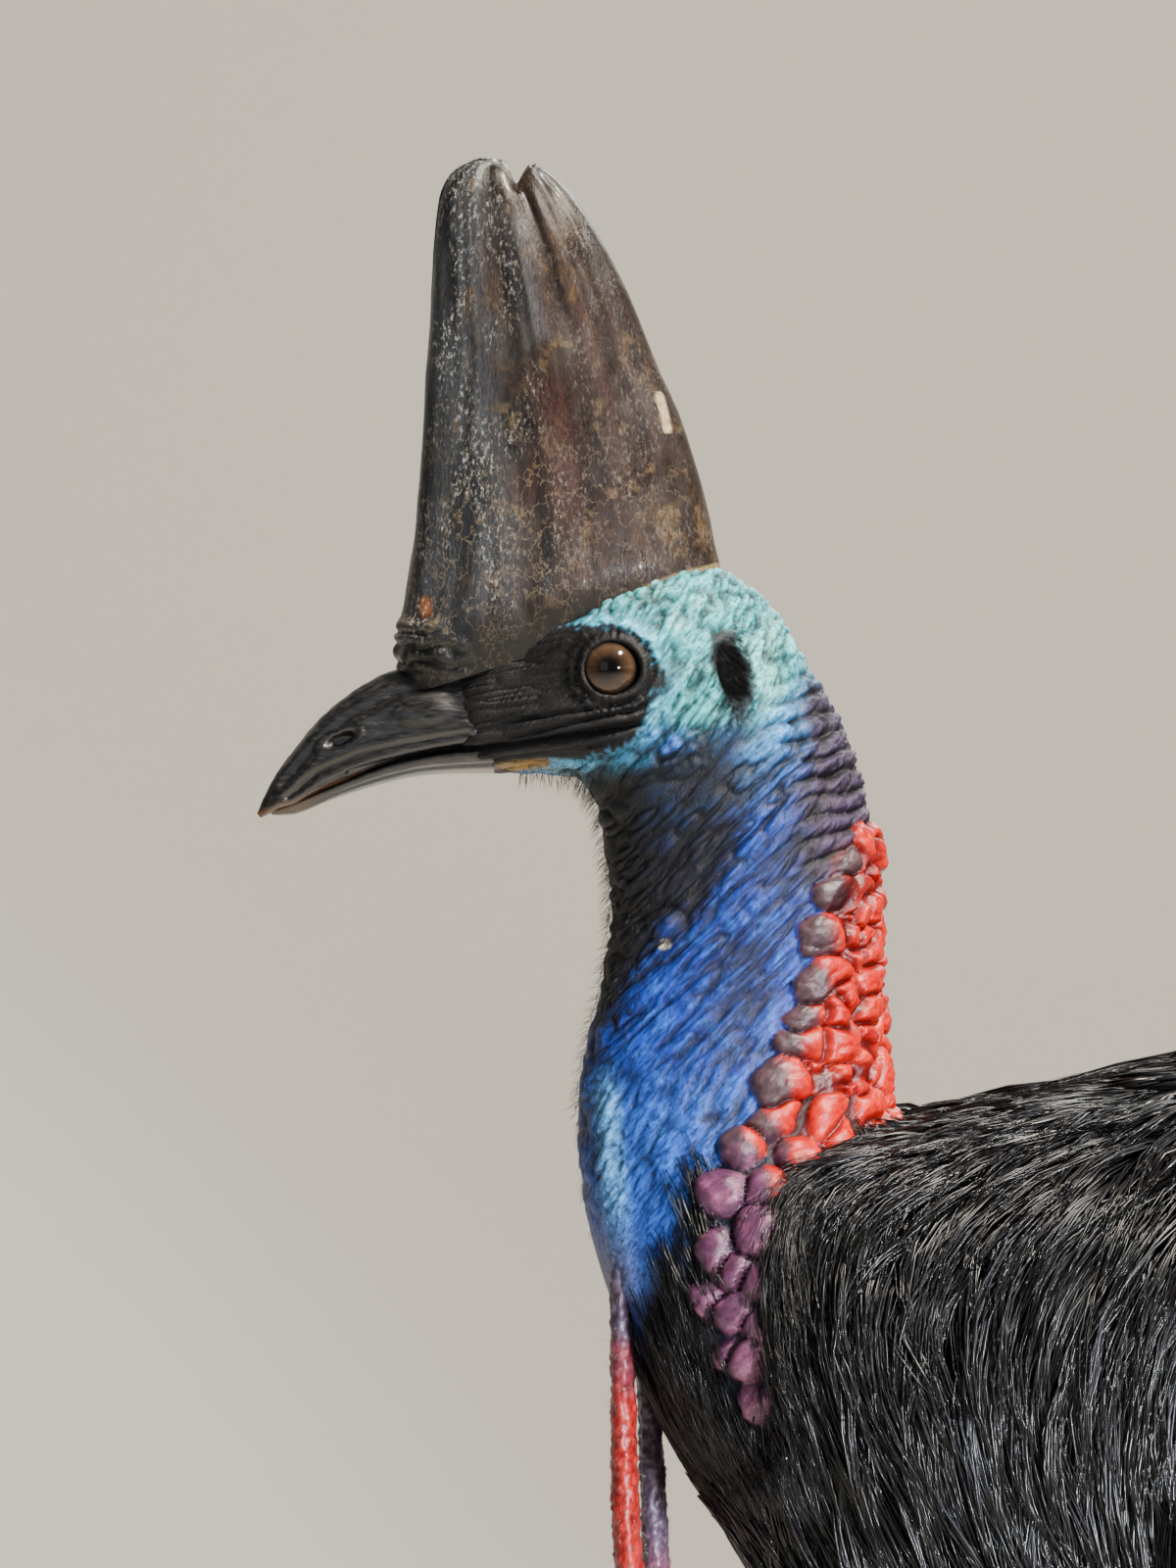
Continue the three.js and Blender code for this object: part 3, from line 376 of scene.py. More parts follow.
class Look:
    """A material: its shader and a mapping of object coordinates to millimetres. Each step of a pattern gives
    a socket, which the next step reads."""

    def __init__(self, name, roughness=0.5, coat=0.0, specular=0.5):
        self.made = bpy.data.materials.new(name)
        self.made.use_nodes = True
        self.nodes = self.made.node_tree.nodes
        self.links = self.made.node_tree.links
        self.shader = self.nodes["Principled BSDF"]
        self.give("Roughness", roughness)
        self.give("Coat Weight", coat)
        self.give("Coat Roughness", 0.05)
        self.give("Specular IOR Level", specular)
        scale = self.nodes.new("ShaderNodeMapping")
        scale.inputs["Scale"].default_value = (1000, 1000, 1000)
        where = self.nodes.new("ShaderNodeTexCoord")
        self.links.new(where.outputs["Object"], scale.inputs["Vector"])
        self.place = scale.outputs["Vector"]

    def feed(self, socket, value):
        """A socket takes what another socket gives, a colour code or a constant."""
        if hasattr(value, "is_linked"):
            self.links.new(value, socket)
        elif isinstance(value, str):
            socket.default_value = (*linear(value), 1)
        else:
            socket.default_value = value

    def give(self, name, value):
        """Sets the shader's input of this name."""
        self.feed(self.shader.inputs[name], value)

    def stored(self, name, output="Fac"):
        """A number stored at the points of a mesh, or a colour where the output is Color."""
        node = self.nodes.new("ShaderNodeAttribute")
        node.attribute_name = name
        return node.outputs[output]

    def texture(self, size, detail=3.0, stretch=(1, 1, 1), rough=0.55, turn=0.0):
        """Noise with features of about a size in millimetres, turned about the Y axis and then stretched."""
        place = self.place
        if turn:
            swing = self.nodes.new("ShaderNodeMapping")
            swing.inputs["Rotation"].default_value = (0, turn, 0)
            self.links.new(place, swing.inputs["Vector"])
            place = swing.outputs["Vector"]
        fit = self.nodes.new("ShaderNodeMapping")
        fit.inputs["Scale"].default_value = tuple(1 / (size * s) for s in stretch)
        self.links.new(place, fit.inputs["Vector"])
        node = self.nodes.new("ShaderNodeTexNoise")
        node.inputs["Scale"].default_value = 1
        node.inputs["Detail"].default_value = detail
        node.inputs["Roughness"].default_value = rough
        self.links.new(fit.outputs["Vector"], node.inputs["Vector"])
        return node.outputs["Fac"]

    def ramp(self, value, *stops):
        """A colour ramp through (place, colour) stops. A colour is a code or a grey level."""
        node = self.nodes.new("ShaderNodeValToRGB")
        elements = node.color_ramp.elements
        while len(elements) < len(stops):
            elements.new(0.5)
        for element, (place, code) in zip(elements, stops):
            element.position = place
            element.color = (*linear(code), 1) if isinstance(code, str) else (code, code, code, 1)
        self.links.new(value, node.inputs["Fac"])
        return node.outputs["Color"]

    def mix(self, kind, factor, a, b):
        """Two colours mixed."""
        node = self.nodes.new("ShaderNodeMix")
        node.data_type = "RGBA"
        node.blend_type = kind
        self.feed(node.inputs["Factor"], factor)
        self.feed(node.inputs["A"], a)
        self.feed(node.inputs["B"], b)
        return node.outputs["Result"]

    def relief(self, height, distance):
        """Fine bumps from a texture, of a height in millimetres."""
        node = self.nodes.new("ShaderNodeBump")
        node.inputs["Distance"].default_value = distance * 0.001
        node.inputs["Strength"].default_value = 1.0
        self.links.new(height, node.inputs["Height"])
        self.give("Normal", node.outputs["Normal"])


def plain(name, colour, roughness=0.4, coat=0.0, specular=0.5):
    """A material of one colour."""
    look = Look(name, roughness, coat, specular)
    look.give("Base Color", colour)
    return look


def skin_look(name, roughness, grain, depth):
    """Bare skin: the colour stored at its points, broken up by fine noise, and slanting creases darkened by
    painted shade. Where it is wet it is smoother and glossier, and its creases show less."""
    look = Look(name, roughness, 0.0, 0.36)
    tint = look.stored("tint", "Color")
    wet = look.stored("wet")
    mottle = look.ramp(look.texture(2.4, 4), (0.3, 0.62), (0.7, 1.25))
    fine = look.texture(grain, 3)
    crease = look.texture(grain * 1.3, 4, (5.0, 1.4, 1.0), 0.6, math.radians(48))
    tint = look.mix("MULTIPLY", 1.0, tint, mottle)
    # Painted shade: the crease texture darkens the colour along the creases, less where the skin is wet.
    crease_shade_share = look.ramp(wet, (0.4, 0.85), (0.9, 0.2))
    dark = look.ramp(crease, (0.37, 0.3), (0.55, 1.28))
    look.give("Base Color", look.mix("MULTIPLY", crease_shade_share, tint, dark))
    look.give("Roughness", look.ramp(wet, (0.0, 0.95), (0.15, 0.6), (0.4, roughness), (1.0, 0.34)))
    level = look.ramp(wet, (0.4, 0.0), (0.9, 0.4))
    bumps = look.mix("MIX", 0.6, fine, crease)
    look.relief(look.mix("MIX", level, bumps, (0.5, 0.5, 0.5, 1)), depth)
    return look


def coat_look():
    """Plumage: near-black horn with a little variation from feather to feather, whose palest feathers are
    partly a painted highlight, streaks that stand in for sheen.
    """
    look = Look("plumage", 0.32)
    # The palest tones are partly a painted highlight.
    stops = ((0.0, "040405"), (0.55, "08080a"), (0.78, "18191c"), (0.97, "2e2f34"))
    look.give("Base Color", look.ramp(look.stored("tone"), *stops))
    return look


SKIN_LOOK = skin_look("bare_skin", 0.46, 0.9, 0.8)
WATTLE_LOOK = skin_look("wattle_skin", 0.42, 0.8, 0.3)
# The skin inside the plumage is near-black, as painted shade among the feathers.
UNDER_LOOK = plain("under_coat", (0.003, 0.003, 0.0035, 1), 0.95, 0.0, 0.1)
COAT_LOOK = coat_look()

# Outlines and lines in the side view, as x and z.
BLACK_FACE = [(-475.4, 1219.8), (-467.8, 1226.6), (-450.7, 1232), (-431.7, 1237), (-408.9, 1241),
              (-397.5, 1241.6), (-388.2, 1241.2), (-377.9, 1238.6), (-370.5, 1232.1), (-367.4, 1224.2),
              (-361.8, 1220.6), (-365.6, 1215.2), (-369.1, 1209.2), (-371.3, 1202.3), (-378.5, 1193.2),
              (-393.7, 1187.5), (-407.8, 1185.2), (-454.5, 1170.0), (-475.4, 1170.0)]
TURQUOISE = [(-400, 1243.4), (-380, 1275), (-330, 1275), (-306.5, 1245.6), (-303, 1228), (-319, 1213),
             (-332, 1200), (-347, 1194), (-369.0, 1204.6), (-361.8, 1219.8), (-367.9, 1227.4),
             (-373.9, 1239.6)]
# A painted shadow below the ear and behind the gape.
CHEEK_SHADOW = [(-366, 1202.5), (-351, 1199.5), (-341, 1205), (-334.5, 1213), (-331, 1201), (-333, 1184),
         (-337, 1172), (-366, 1172), (-370, 1192)]
CHEEK_GRANULES = [(-374, 1201.6), (-355.7, 1203.6), (-346, 1187), (-369.0, 1183.5)]
CHEEK_SPOT = [(-373, 1201), (-358, 1202), (-352, 1190), (-369, 1186)]
BROW = [(-404, 1234), (-396, 1243), (-378, 1243), (-366, 1235), (-370, 1231), (-384, 1238)]
EYE_HOLLOW = [(-428, 1212), (-400, 1214), (-399, 1232), (-424, 1232)]
JAW_STRIP = [(-446.0, 1183.4), (-430.0, 1185.9), (-412.1, 1188.4), (-406.8, 1187.6), (-408, 1184.6),
             (-424, 1183.2), (-444.9, 1182.3)]
JAW_BLUE = [(-408.4, 1188.4), (-390.7, 1187.2), (-392.2, 1183.6), (-408.4, 1185.2)]
MOUTH = [(-460.2, 1187.1), (-439.3, 1191.7), (-408.9, 1197.0), (-386.1, 1200.4), (-371.3, 1202.7)]
FOLDS = [
    [(-431.7, 1194.8), (-408.9, 1200.6), (-389.9, 1205.0), (-374.7, 1208.0), (-366.3, 1212.6)],
    [(-424.1, 1202.7), (-405.1, 1206.4), (-386.1, 1208.9), (-372.8, 1212.4)],
    [(-440.0, 1186.9), (-415.0, 1191.2), (-396.0, 1193.6), (-378.0, 1196.0)],
]
FOLD_DEPTHS = (1.5, 1.0, 0.9)
# The throat: dark skin with a painted shadow of the head over it.
THROAT_DARK_AND_SHADOW = [(-415, 1190), (-378.5, 1190.3), (-360.1, 1193.0), (-346, 1199.0), (-335, 1184), (-337.6, 1155.2),
          (-347.1, 1129.6), (-366.5, 1117.6), (-385, 1096.0), (-402, 1094.0), (-402, 1170)]
THROAT_RIDGE = [(-389, 1075), (-386, 1045), (-383, 1015), (-380, 985)]
COAT_EDGE = [(-262, 1075), (-270.9, 1049), (-290.7, 1043.0), (-303.1, 1033.4), (-313.5, 1020.2),
             (-320.2, 1006.0), (-323.1, 988.0), (-324.0, 969.0), (-320.2, 948.0), (-318.5, 927.2),
             (-341.0, 912.0), (-378.0, 905.0), (-372, 600), (700, 600), (700, 1200), (-262, 1200)]
NECK_HAIR = [(-353.0, 1038.8), (-360.5, 1012.0), (-371.9, 980.6), (-378.7, 945.4), (-380.5, 905.6),
             (-342.4, 880.2), (-317.7, 900.6), (-322.9, 925.6), (-341.3, 948.0), (-353.1, 964.0),
             (-356.4, 991.8), (-353.1, 1010.8)]

# Painted shade on the skin between the lowest bulbs, and the red back of the neck, where the skin that shows
# between the bulbs is darkened by painted shade.
STRING_SHADE_ZONE = [(-338, 1046), (-318, 1046), (-290, 1030), (-300, 900), (-352, 900), (-356, 1015)]
BULB_ZONE = [(-300, 1152), (-284, 1162), (-262, 1150), (-255, 1040), (-300, 1034), (-322, 1036), (-326, 1050),
             (-312, 1076), (-304, 1100), (-298, 1128)]

# Bulbs on each side of the neck, from the side view: x, z, half sizes along and across, and how purple they
# are.
BULBS = [
    (-290.4, 1149.5, 9.5, 4.6, 0.75), (-294.4, 1137.5, 13.5, 6.2, 0.5), (-302.1, 1121.0, 11.0, 8.6, 0.55),
    (-296.0, 1127.5, 9.5, 5.0, 0.15), (-302.7, 1104.0, 14.4, 7.2, 0.5), (-308.0, 1091.5, 11.5, 5.6, 0.55),
    (-310.2, 1079.6, 13.2, 6.2, 0.5), (-318.5, 1065.0, 12.5, 8.4, 0.6), (-322.4, 1051.4, 12.5, 6.2, 0.5),
    (-334.6, 1040.4, 8.5, 7.4, 0.85), (-313.0, 1037.5, 8.5, 8.0, 0.12), (-341.8, 1022.8, 11.0, 9.4, 1.0),
    (-326.4, 1025.4, 8.5, 8.7, 0.85), (-329.4, 1008.9, 9.9, 8.7, 1.0), (-346.8, 1001.2, 7.6, 8.7, 1.0),
    (-337.4, 993.6, 7.8, 6.8, 1.0), (-327.5, 990.0, 7.8, 6.8, 1.0), (-347.5, 982.6, 6.8, 8.2, 1.0),
    (-338.5, 979.8, 8.4, 7.4, 1.0), (-329.5, 972.0, 7.0, 6.4, 1.0), (-341.1, 963.0, 6.0, 5.6, 1.0),
    (-332.6, 959.8, 8.0, 7.6, 1.0), (-328.2, 943.8, 7.6, 7.6, 1.0),
]


def side_turn(x, z, low, high):
    """The ring and turn of the skin, on the bird's right, whose side view is nearest to each point (x, z)."""
    t, a = np.meshgrid(np.linspace(low, high, 260), np.linspace(0.02, math.pi - 0.02, 240), indexing="ij")
    p = ring_point(SKIN, t, a).reshape(-1, 3)
    found = [np.argmin((p[:, 0] - u) ** 2 + (p[:, 2] - v) ** 2) for u, v in zip(x, z)]
    return t.ravel()[found], a.ravel()[found]


def dome(p, centre, ahead, across, out, sizes):
    """Height of a round bulb over points p: the upper half of an ellipsoid on three directions at its
    centre."""
    d = p - centre
    r = (d @ ahead / sizes[0]) ** 2 + (d @ across / sizes[1]) ** 2 + (d @ out / (1.6 * sizes[0])) ** 2
    return np.sqrt(np.clip(1 - r, 0, None))


def bulb_spots():
    """Rings, turns, half sizes, purpleness and lean of every bulb on the neck: those listed for each side,
    and rows of uneven ones across the back between them."""
    x, z, along, wide, tone = np.array(BULBS).T
    t, a = side_turn(x, z, 6, 15)
    spots = [(t[i], side * a[i], along[i], wide[i], tone[i], 0.25 * math.sin(5.0 * i))
             for side in (-1, 1) for i in range(len(t))]
    pick = np.random.default_rng(5)
    rows = np.linspace(1152, 1046, 12)
    line = side_turn(np.full(12, -276.0), rows, 6, 15)[0]
    for i, ring in enumerate(line):
        reach = np.interp(rows[i], [1046, 1100, 1135, 1155], [0.95, 0.78, 0.6, 0.3])
        for turn in np.linspace(-reach, reach, 6 if i % 2 else 5):
            spots.append((ring + pick.normal(0, 0.07), turn + pick.normal(0, 0.06), pick.uniform(8.0, 14.0),
                          pick.uniform(5.2, 7.2), 0.0, pick.normal(0, 0.9)))
    return spots


def neck_bulbs(p):
    """Heights in millimetres and purpleness of the bulbs that cover the back and sides of the neck, over
    points p, and the creases between them, where the two highest bulbs are about equally high. Each bulb is a
    dome on an ellipse whose long side runs back and up. Noise bends the outlines, and where two bulbs meet
    the higher one shows, so that they crowd together."""
    height, second, purple = (np.zeros(p.shape[:-1]) for k in range(3))
    bent = p + 4.6 * (np.stack([noise(p, 9.5, 90 + k) for k in range(3)], -1) - 0.5)
    for ring, turn, long, wide, tone, lean in bulb_spots():
        out = ring_normal(SKIN, np.array(ring), np.array(turn))
        centre = ring_point(SKIN, np.array(ring), np.array(turn), -1.0)
        at_side = abs(turn) > 0.4
        back = np.array([0.93, 0.0, 0.30]) if at_side else np.array([0.3, np.sign(turn) * -0.9, 0.1])
        back = unit(back - out * (back @ out))
        across = np.cross(out, back)
        c, s = math.cos(lean), math.sin(lean)
        back, across = back * c + across * s, across * c - back * s
        near = np.nonzero(np.abs(bent[..., 2] - centre[2]) < 1.5 * long)
        h = dome(bent[near], centre, back, across, out, (1.12 * long, 1.16 * wide)) * min(6.6, 0.92 * wide)
        second[near] = np.maximum(second[near], np.minimum(h, height[near]))
        higher = h > height[near]
        near = tuple(k[higher] for k in near)
        height[near] = h[higher]
        front = np.clip(-((p[near] - centre) @ back) / long, -1, 1) if tone else 0.0
        purple[near] = np.clip(tone + 0.85 * front * (0.05 < tone < 0.95), 0, 1)
    crease = smooth(second, 0.2, 1.0) * smooth(height - second, 2.4, 0.0)
    return height, purple, crease


def eye_distance(x, z):
    """Distance in the side view from the middle of the eye."""
    return np.hypot(x - EYE[0], z - EYE[1])


def ear_distance(x, z):
    """Distance in the side view from the middle of the ear's opening, as a share of its upright, leaning
    ellipse."""
    return np.hypot((x - EAR[0] + 0.2 * (z - EAR[1])) / 6.8, (z - EAR[1]) / 14.6)


def fold_height(p, t, a):
    """Folds and wrinkles that follow the lie of the skin: fine on the crown, coarse and slanting on the neck,
    nearly level on the black face, and thick rolls down the nape, whose profile is a flat-topped wave."""
    x, z = p[..., 0], p[..., 2]
    head = smooth(t, 7.0, 6.0)
    crown = inside(x, z, TURQUOISE, 8) * head
    black = inside(x, z, BLACK_FACE, 3) * head
    neck = smooth(t, 5.6, 7.0) * smooth(z, 1000, 1030)
    low = smooth(z, 1090, 1050)
    nape = smooth(np.abs(a), 1.35, 0.8) * smooth(z, 1226, 1212) * smooth(z, 1128, 1145)
    nape = nape * smooth(x, -330, -318)
    h = np.zeros(x.shape)
    h += crown * (1.6 * wrinkles(p, 62, 2.5, 12, 1) + 0.8 * wrinkles(p, 20, 2.0, 5, 2))
    h += (1 - crown) * (1 - black) * smooth(t, 8.5, 6.8) * 1.7 * wrinkles(p, 38, 3.6, 15, 3)
    h += neck * (1 - low) * (1.5 * wrinkles(p, 43, 4.4, 24, 4) + 1.0 * wrinkles(p, 46, 2.3, 12, 5))
    h += neck * low * (1.2 * wrinkles(p, 64, 4.0, 26, 6) + 0.9 * wrinkles(p, 58, 2.2, 10, 7))
    h += black * 0.9 * wrinkles(p, 12, 2.0, 16, 8)
    phase = (z - 0.30 * (x + 300)) / 8.0 + 0.55 * noise(p, 17, 9) + 0.15 * np.sign(p[..., 1])
    lobe = 1 - np.abs(2 * (phase - np.floor(phase)) - 1) ** 2.6
    return h + nape * (2.9 * lobe - 1.1 + 0.5 * (noise(p, 3, 10) - 0.5))


def eye_height(h, x, z, head):
    """Height h with the eye's well, the rings and rays of its lid, and the brow above it."""
    far = np.hypot((x - EYE[0]) * 0.96, (z - EYE[1]) * 1.04)
    h = h * smooth(far, 11, 19)
    lid = np.arctan2(z - EYE[1], x - EYE[0])
    rays = noise(np.stack([np.cos(lid) * 9, np.sin(lid) * 9, far / 5], -1), 1.0, 11) - 0.5
    h += head * (1.3 * bump(far, 11.6, 1.6) - 0.5 * bump(far, 14.8, 1.0) + 0.4 * bump(far, 16.8, 1.4))
    h += head * 1.1 * rays * smooth(far, 10.5, 13) * smooth(far, 22, 16)
    h -= head * 9.0 * smooth(far, 10.4, 9.0)
    h += head * 1.2 * inside(x, z, BROW, 3)
    return h - head * 3.0 * inside(x, z, EYE_HOLLOW, 7)


def mouth_height(h, x, z, head):
    """Height h with the slit of the mouth, a lip on each side of it, and the folds that run beside it."""
    d, s = line_distance(x, z, MOUTH)
    h = h * (1 - bump(d, 0, 2.5) * head)
    h += head * (1.5 * bump(d, 3.2, 2.2) - 3.0 * bump(d, 0, 0.95)) * smooth(s, 1.0, 0.93)
    for fold, depth in zip(FOLDS, FOLD_DEPTHS):
        d, s = line_distance(x, z, fold)
        ends = smooth(s, 1.0, 0.9) * smooth(s, 0.0, 0.1)
        h += head * depth * (0.7 * bump(d, 2.0, 1.5) - bump(d, 0, 0.8)) * ends
    return h


def skin_height(p, t, a):
    """Height of the relief of the skin in millimetres over points p at rings t and turns a: folds, the wells
    of the eyes and ears, the mouth, granules of the cheek and throat, and the bulbs of the neck with their
    pits. Also the bulbs' own height, their purpleness and the creases between them."""
    x, z = p[..., 0], p[..., 2]
    head = smooth(t, 7.0, 6.0)
    h = fold_height(p, t, a)
    h = eye_height(h, x, z, head)
    h = mouth_height(h, x, z, head)
    ear = ear_distance(x, z)
    h = h * smooth(ear, 0.7, 1.2) + head * (0.5 * bump(ear, 1.25, 0.25) - 5.0 * smooth(ear, 1.0, 0.3))
    h += inside(x, z, CHEEK_GRANULES, 4) * (1.3 - 2.2 * cells(p, 4.2, 3))
    ridge, along = line_distance(x, z, THROAT_RIDGE)
    h += smooth(ridge, 8, 1) * smooth(along, 0, 0.3) * (2.0 - 1.3 * cells(p, 4.0, 24))
    lump = np.hypot((x + 365) / 7, (z - 1125) / 5.5)
    h += 2.0 * smooth(lump, 1.1, 0.3) - 0.7 * bump(lump, 1.3, 0.2)
    lumps, purple, crease = neck_bulbs(p)
    pebble = 0.9 * (noise(p, 3.8, 21) - 0.5) + 0.5 * (noise(p, 1.7, 22) - 0.5)
    pebble -= 0.9 * (1 - np.abs(2 * noise(p * [0.7, 1, 1.3], 6.5, 23) - 1)) ** 7
    between = h * smooth(lumps, 0.4, 0.0) - 0.6 * smooth(lumps, 0, 0.4)
    h = np.where(lumps > 0.4, lumps + pebble - 0.4 - 2.6 * crease, between)
    h = h - 1.6 * smooth(t, 0.45, 0.0)
    return h, lumps, purple, crease


def paint_neck(paint, p, t, a, h):
    """Cobalt with paler ridges, azure towards the head and turquoise over the crown and cheek, with paler
    turquoise patches that are partly a painted highlight. A painted shadow darkens the cheek below the ear,
    leaving azure on its ridges, and painted shade darkens the front edge of the neck. The throat is dark, its
    skin darkened further by a painted shadow of the head."""
    x, z = p[..., 0], p[..., 2]
    coarse, fine = noise(p, 9, 31), noise(p, 3.2, 32)
    head = smooth(t, 7.0, 6.0)
    paint.lay(smooth(coarse, 0.35, 0.75) * 0.6, "12327f")
    paint.lay(smooth(fine, 0.5, 0.85) * 0.4, "2f6cc6")
    paint.lay(smooth(z, 1085, 1040) * 0.3, "2a62b4")
    paint.lay(smooth(t, 7.6, 5.6) * smooth(z, 1150, 1200) * 0.8, "3f93c4")
    paint.lay(inside(x, z, TURQUOISE, 9) * smooth(t, 8, 6.5), "48abb4")
    # Paler turquoise patches, partly the skin's own colour and partly a painted highlight.
    paint.lay(inside(x, z, TURQUOISE, 6) * smooth(coarse, 0.45, 0.8) * 0.5 * smooth(t, 7, 6), "84d2cb")
    # Painted shadow under the cheek: dark blue, with azure that is partly painted light where its ridges
    # stand up.
    cheek = inside(x, z, CHEEK_SHADOW, 6) * head
    paint.lay(cheek * 0.9, "0a2a5c")
    paint.lay(cheek * smooth(h, 0.0, 0.8) * 0.75, "1c6cc0")
    paint.lay(inside(x, z, CHEEK_SPOT, 3) * smooth(h, -0.6, 0.3) * 0.8, "2f5fb4")
    ridge, along = line_distance(x, z, THROAT_RIDGE)
    pale = 0.55 - 0.35 * smooth(along, 0.5, 0.85)
    paint.lay(smooth(ridge, 8, 2) * smooth(along, 0, 0.2) * pale, "5b9cc4")
    # Painted shade down the front edge of the neck, which faces away from the light.
    paint.lay(smooth(x, -385, -399) * smooth(z, 1100, 1060) * 0.35, "173a66")
    paint.lay(smooth(z, 1022, 988) * smooth(x, -370, -380) * 0.8, "3a3244")
    # The throat's dark skin, darkened further by a painted shadow of the head, and painted shade under the
    # chin.
    paint.lay(inside(x, z, THROAT_DARK_AND_SHADOW, 8) * (0.86 + 0.14 * smooth(x, -360, -380)), "04060c")
    under_chin_dark_and_shade = smooth(a * a, 2.4 ** 2, 2.9 ** 2) * smooth(t, 1.5, 3)
    paint.lay(under_chin_dark_and_shade * smooth(z, 1080, 1130), "06070b")


def paint_face(paint, p, t):
    """A black face with a frayed edge that is azure just outside, black lids, and a yellow strip and a blue
    one along the jaw."""
    x, z = p[..., 0], p[..., 2]
    face = smooth(t, 5.5, 4.5)
    paint.lay(inside(x, z, BLACK_FACE, 13) * face * 0.85, "4aa6c6")
    fray = [5 * (noise(p, 1.6, 35) - 0.5), 5 * (noise(p, 1.6, 36) - 0.5)]
    paint.lay(inside(x + fray[0], z + fray[1], BLACK_FACE, 2.6) * face, "070709")
    paint.lay(smooth(eye_distance(x, z) + fray[0], 18.0, 14.5) * smooth(t, 5, 4), "050506")
    worn = smooth(noise(p, 4, 34), 0.1, 0.6) * 0.85
    paint.lay(inside(x, z, JAW_STRIP, 1.8) * smooth(x, -441, -420) * smooth(x, -404, -412) * worn, "8f6c2a")
    paint.lay(inside(x, z, JAW_BLUE, 1.5) * 0.8, "4d94b4")


def paint_edges(paint, p, t, a):
    """Painted shade on the skin under the feathers and between the lowest bulbs, which is made near-black;
    the ear, with painted shade in its opening; dark rolls of the nape; and a few dark spots on the turquoise."""
    x, z = p[..., 0], p[..., 2]
    # Painted shade: the skin under the feathers, between the lowest bulbs and past the collar is made
    # near-black, as the shade there.
    hidden_painted_shade = np.maximum(inside(x, z, COAT_EDGE, 4), inside(x, z, NECK_HAIR, 6))
    hidden_painted_shade = np.maximum(hidden_painted_shade, smooth(z, 1006, 990) * smooth(x, -366, -358))
    hidden_painted_shade = np.maximum(hidden_painted_shade, inside(x, z, STRING_SHADE_ZONE, 5))
    paint.lay(hidden_painted_shade * (0.94 + 0.05 * noise(p, 3.2, 32)), "08080b")
    paint.lay(smooth(t, 14.5, 15.5), "08080a")
    ear = ear_distance(x, z)
    on_head = smooth(t, 7, 6)
    paint.lay(smooth(ear + 0.5 * (noise(p, 4, 33) - 0.5), 1.45, 0.9) * on_head, "1a282e")
    # Painted shade in the ear's opening.
    paint.lay(smooth(ear, 0.85, 0.5) * on_head, "050607")
    rolls = smooth(np.abs(a), 1.45, 1.05) * smooth(z, 1230, 1214) * smooth(z, 1128, 1145)
    rolls = rolls * smooth(x + 8 * noise(p, 9, 31), -320, -302)
    paint.lay(rolls * 0.95, "261820")
    paint.lay(smooth(noise(p, 4.5, 41), 0.8, 0.86) * inside(x, z, TURQUOISE, 4) * 0.7, "2d4a58")


def paint_bulbs(paint, p, lumps, purple, crease):
    """Bulbs from grey and plum at their tips and on the lowest ones to vermilion, with painted shade low on
    their sides and where they meet, and on the red skin between them at the back of the neck.
    """
    x, z = p[..., 0], p[..., 2]
    region = smooth(lumps, 0.05, 0.5)
    patchy, fine = noise(p, 6, 51), noise(p, 2.0, 52)
    low = smooth(z, 1046, 1030)
    # Painted shade on the red skin that shows between the bulbs at the back of the neck.
    paint.lay(inside(x, z, BULB_ZONE, 3) * (1 - region), "400a0d")
    paint.lay(region, "920c05")
    paint.lay(region * smooth(patchy, 0.4, 0.8) * 0.8, "a51e09")
    paint.lay(region * smooth(purple + 0.4 * (patchy - 0.5), 0.3, 0.75) * 0.97, "352b2f")
    paint.lay(region * smooth(purple, 0.5, 1.0) * low, "44243a")
    paint.lay(region * smooth(patchy, 0.5, 0.75) * smooth(purple, 0.5, 0.9) * low * 0.6, "7a4862")
    paint.lay(region * smooth(purple, 0.5, 1.0) * smooth(fine, 0.55, 0.8) * (0.6 - 0.1 * low), "232025")
    # Painted shade low on the bulbs' sides and in the creases where two bulbs meet.
    paint.lay(region * smooth(lumps, 2.6, 0.3) * (1 - 0.4 * smooth(purple, 0.3, 0.8)) * 0.85, "3a0a0d")
    paint.lay(region * crease * 0.9, "1e0406")


def skin_tint(p, t, a, h, lumps, purple, crease):
    """Colour of the skin over points p, laid on in layers, with a pale chip on the left of the neck. On the
    bare skin, painted shade darkens the creases and painted light makes the ridges paler."""
    paint = Paint(np.broadcast_to(linear("12358f"), p.shape))
    paint_neck(paint, p, t, a, h)
    paint_face(paint, p, t)
    paint_edges(paint, p, t, a)
    paint_bulbs(paint, p, lumps, purple, crease)
    chip = np.hypot((p[..., 0] + 364.8) / 2.6, (p[..., 2] - 1117.4) / 2.2)
    paint.lay(smooth(chip, 1.1, 0.8) * smooth(a, 0, -0.1), "bfb9aa")
    # Painted shade in the creases and painted light on the ridges of the bare skin, from the height of the
    # relief.
    bare = 1 - smooth(lumps, 0.05, 0.5)
    shade = np.clip(1.22 + 0.62 * np.clip(h, -1.8, 1.0) * bare, 0.14, 1.6)
    return np.clip(paint.tint * shade[..., None], 0, 1)


def skin_surface(t, a):
    """The skin with its relief, at rings t and turns a, with its colour and the height of its bulbs."""
    p = ring_point(SKIN, t, a)
    h, lumps, purple, crease = skin_height(p, t, a)
    tint = skin_tint(p, t, a, h, lumps, purple, crease)
    return p + ring_normal(SKIN, t, a) * h[..., None], tint, lumps


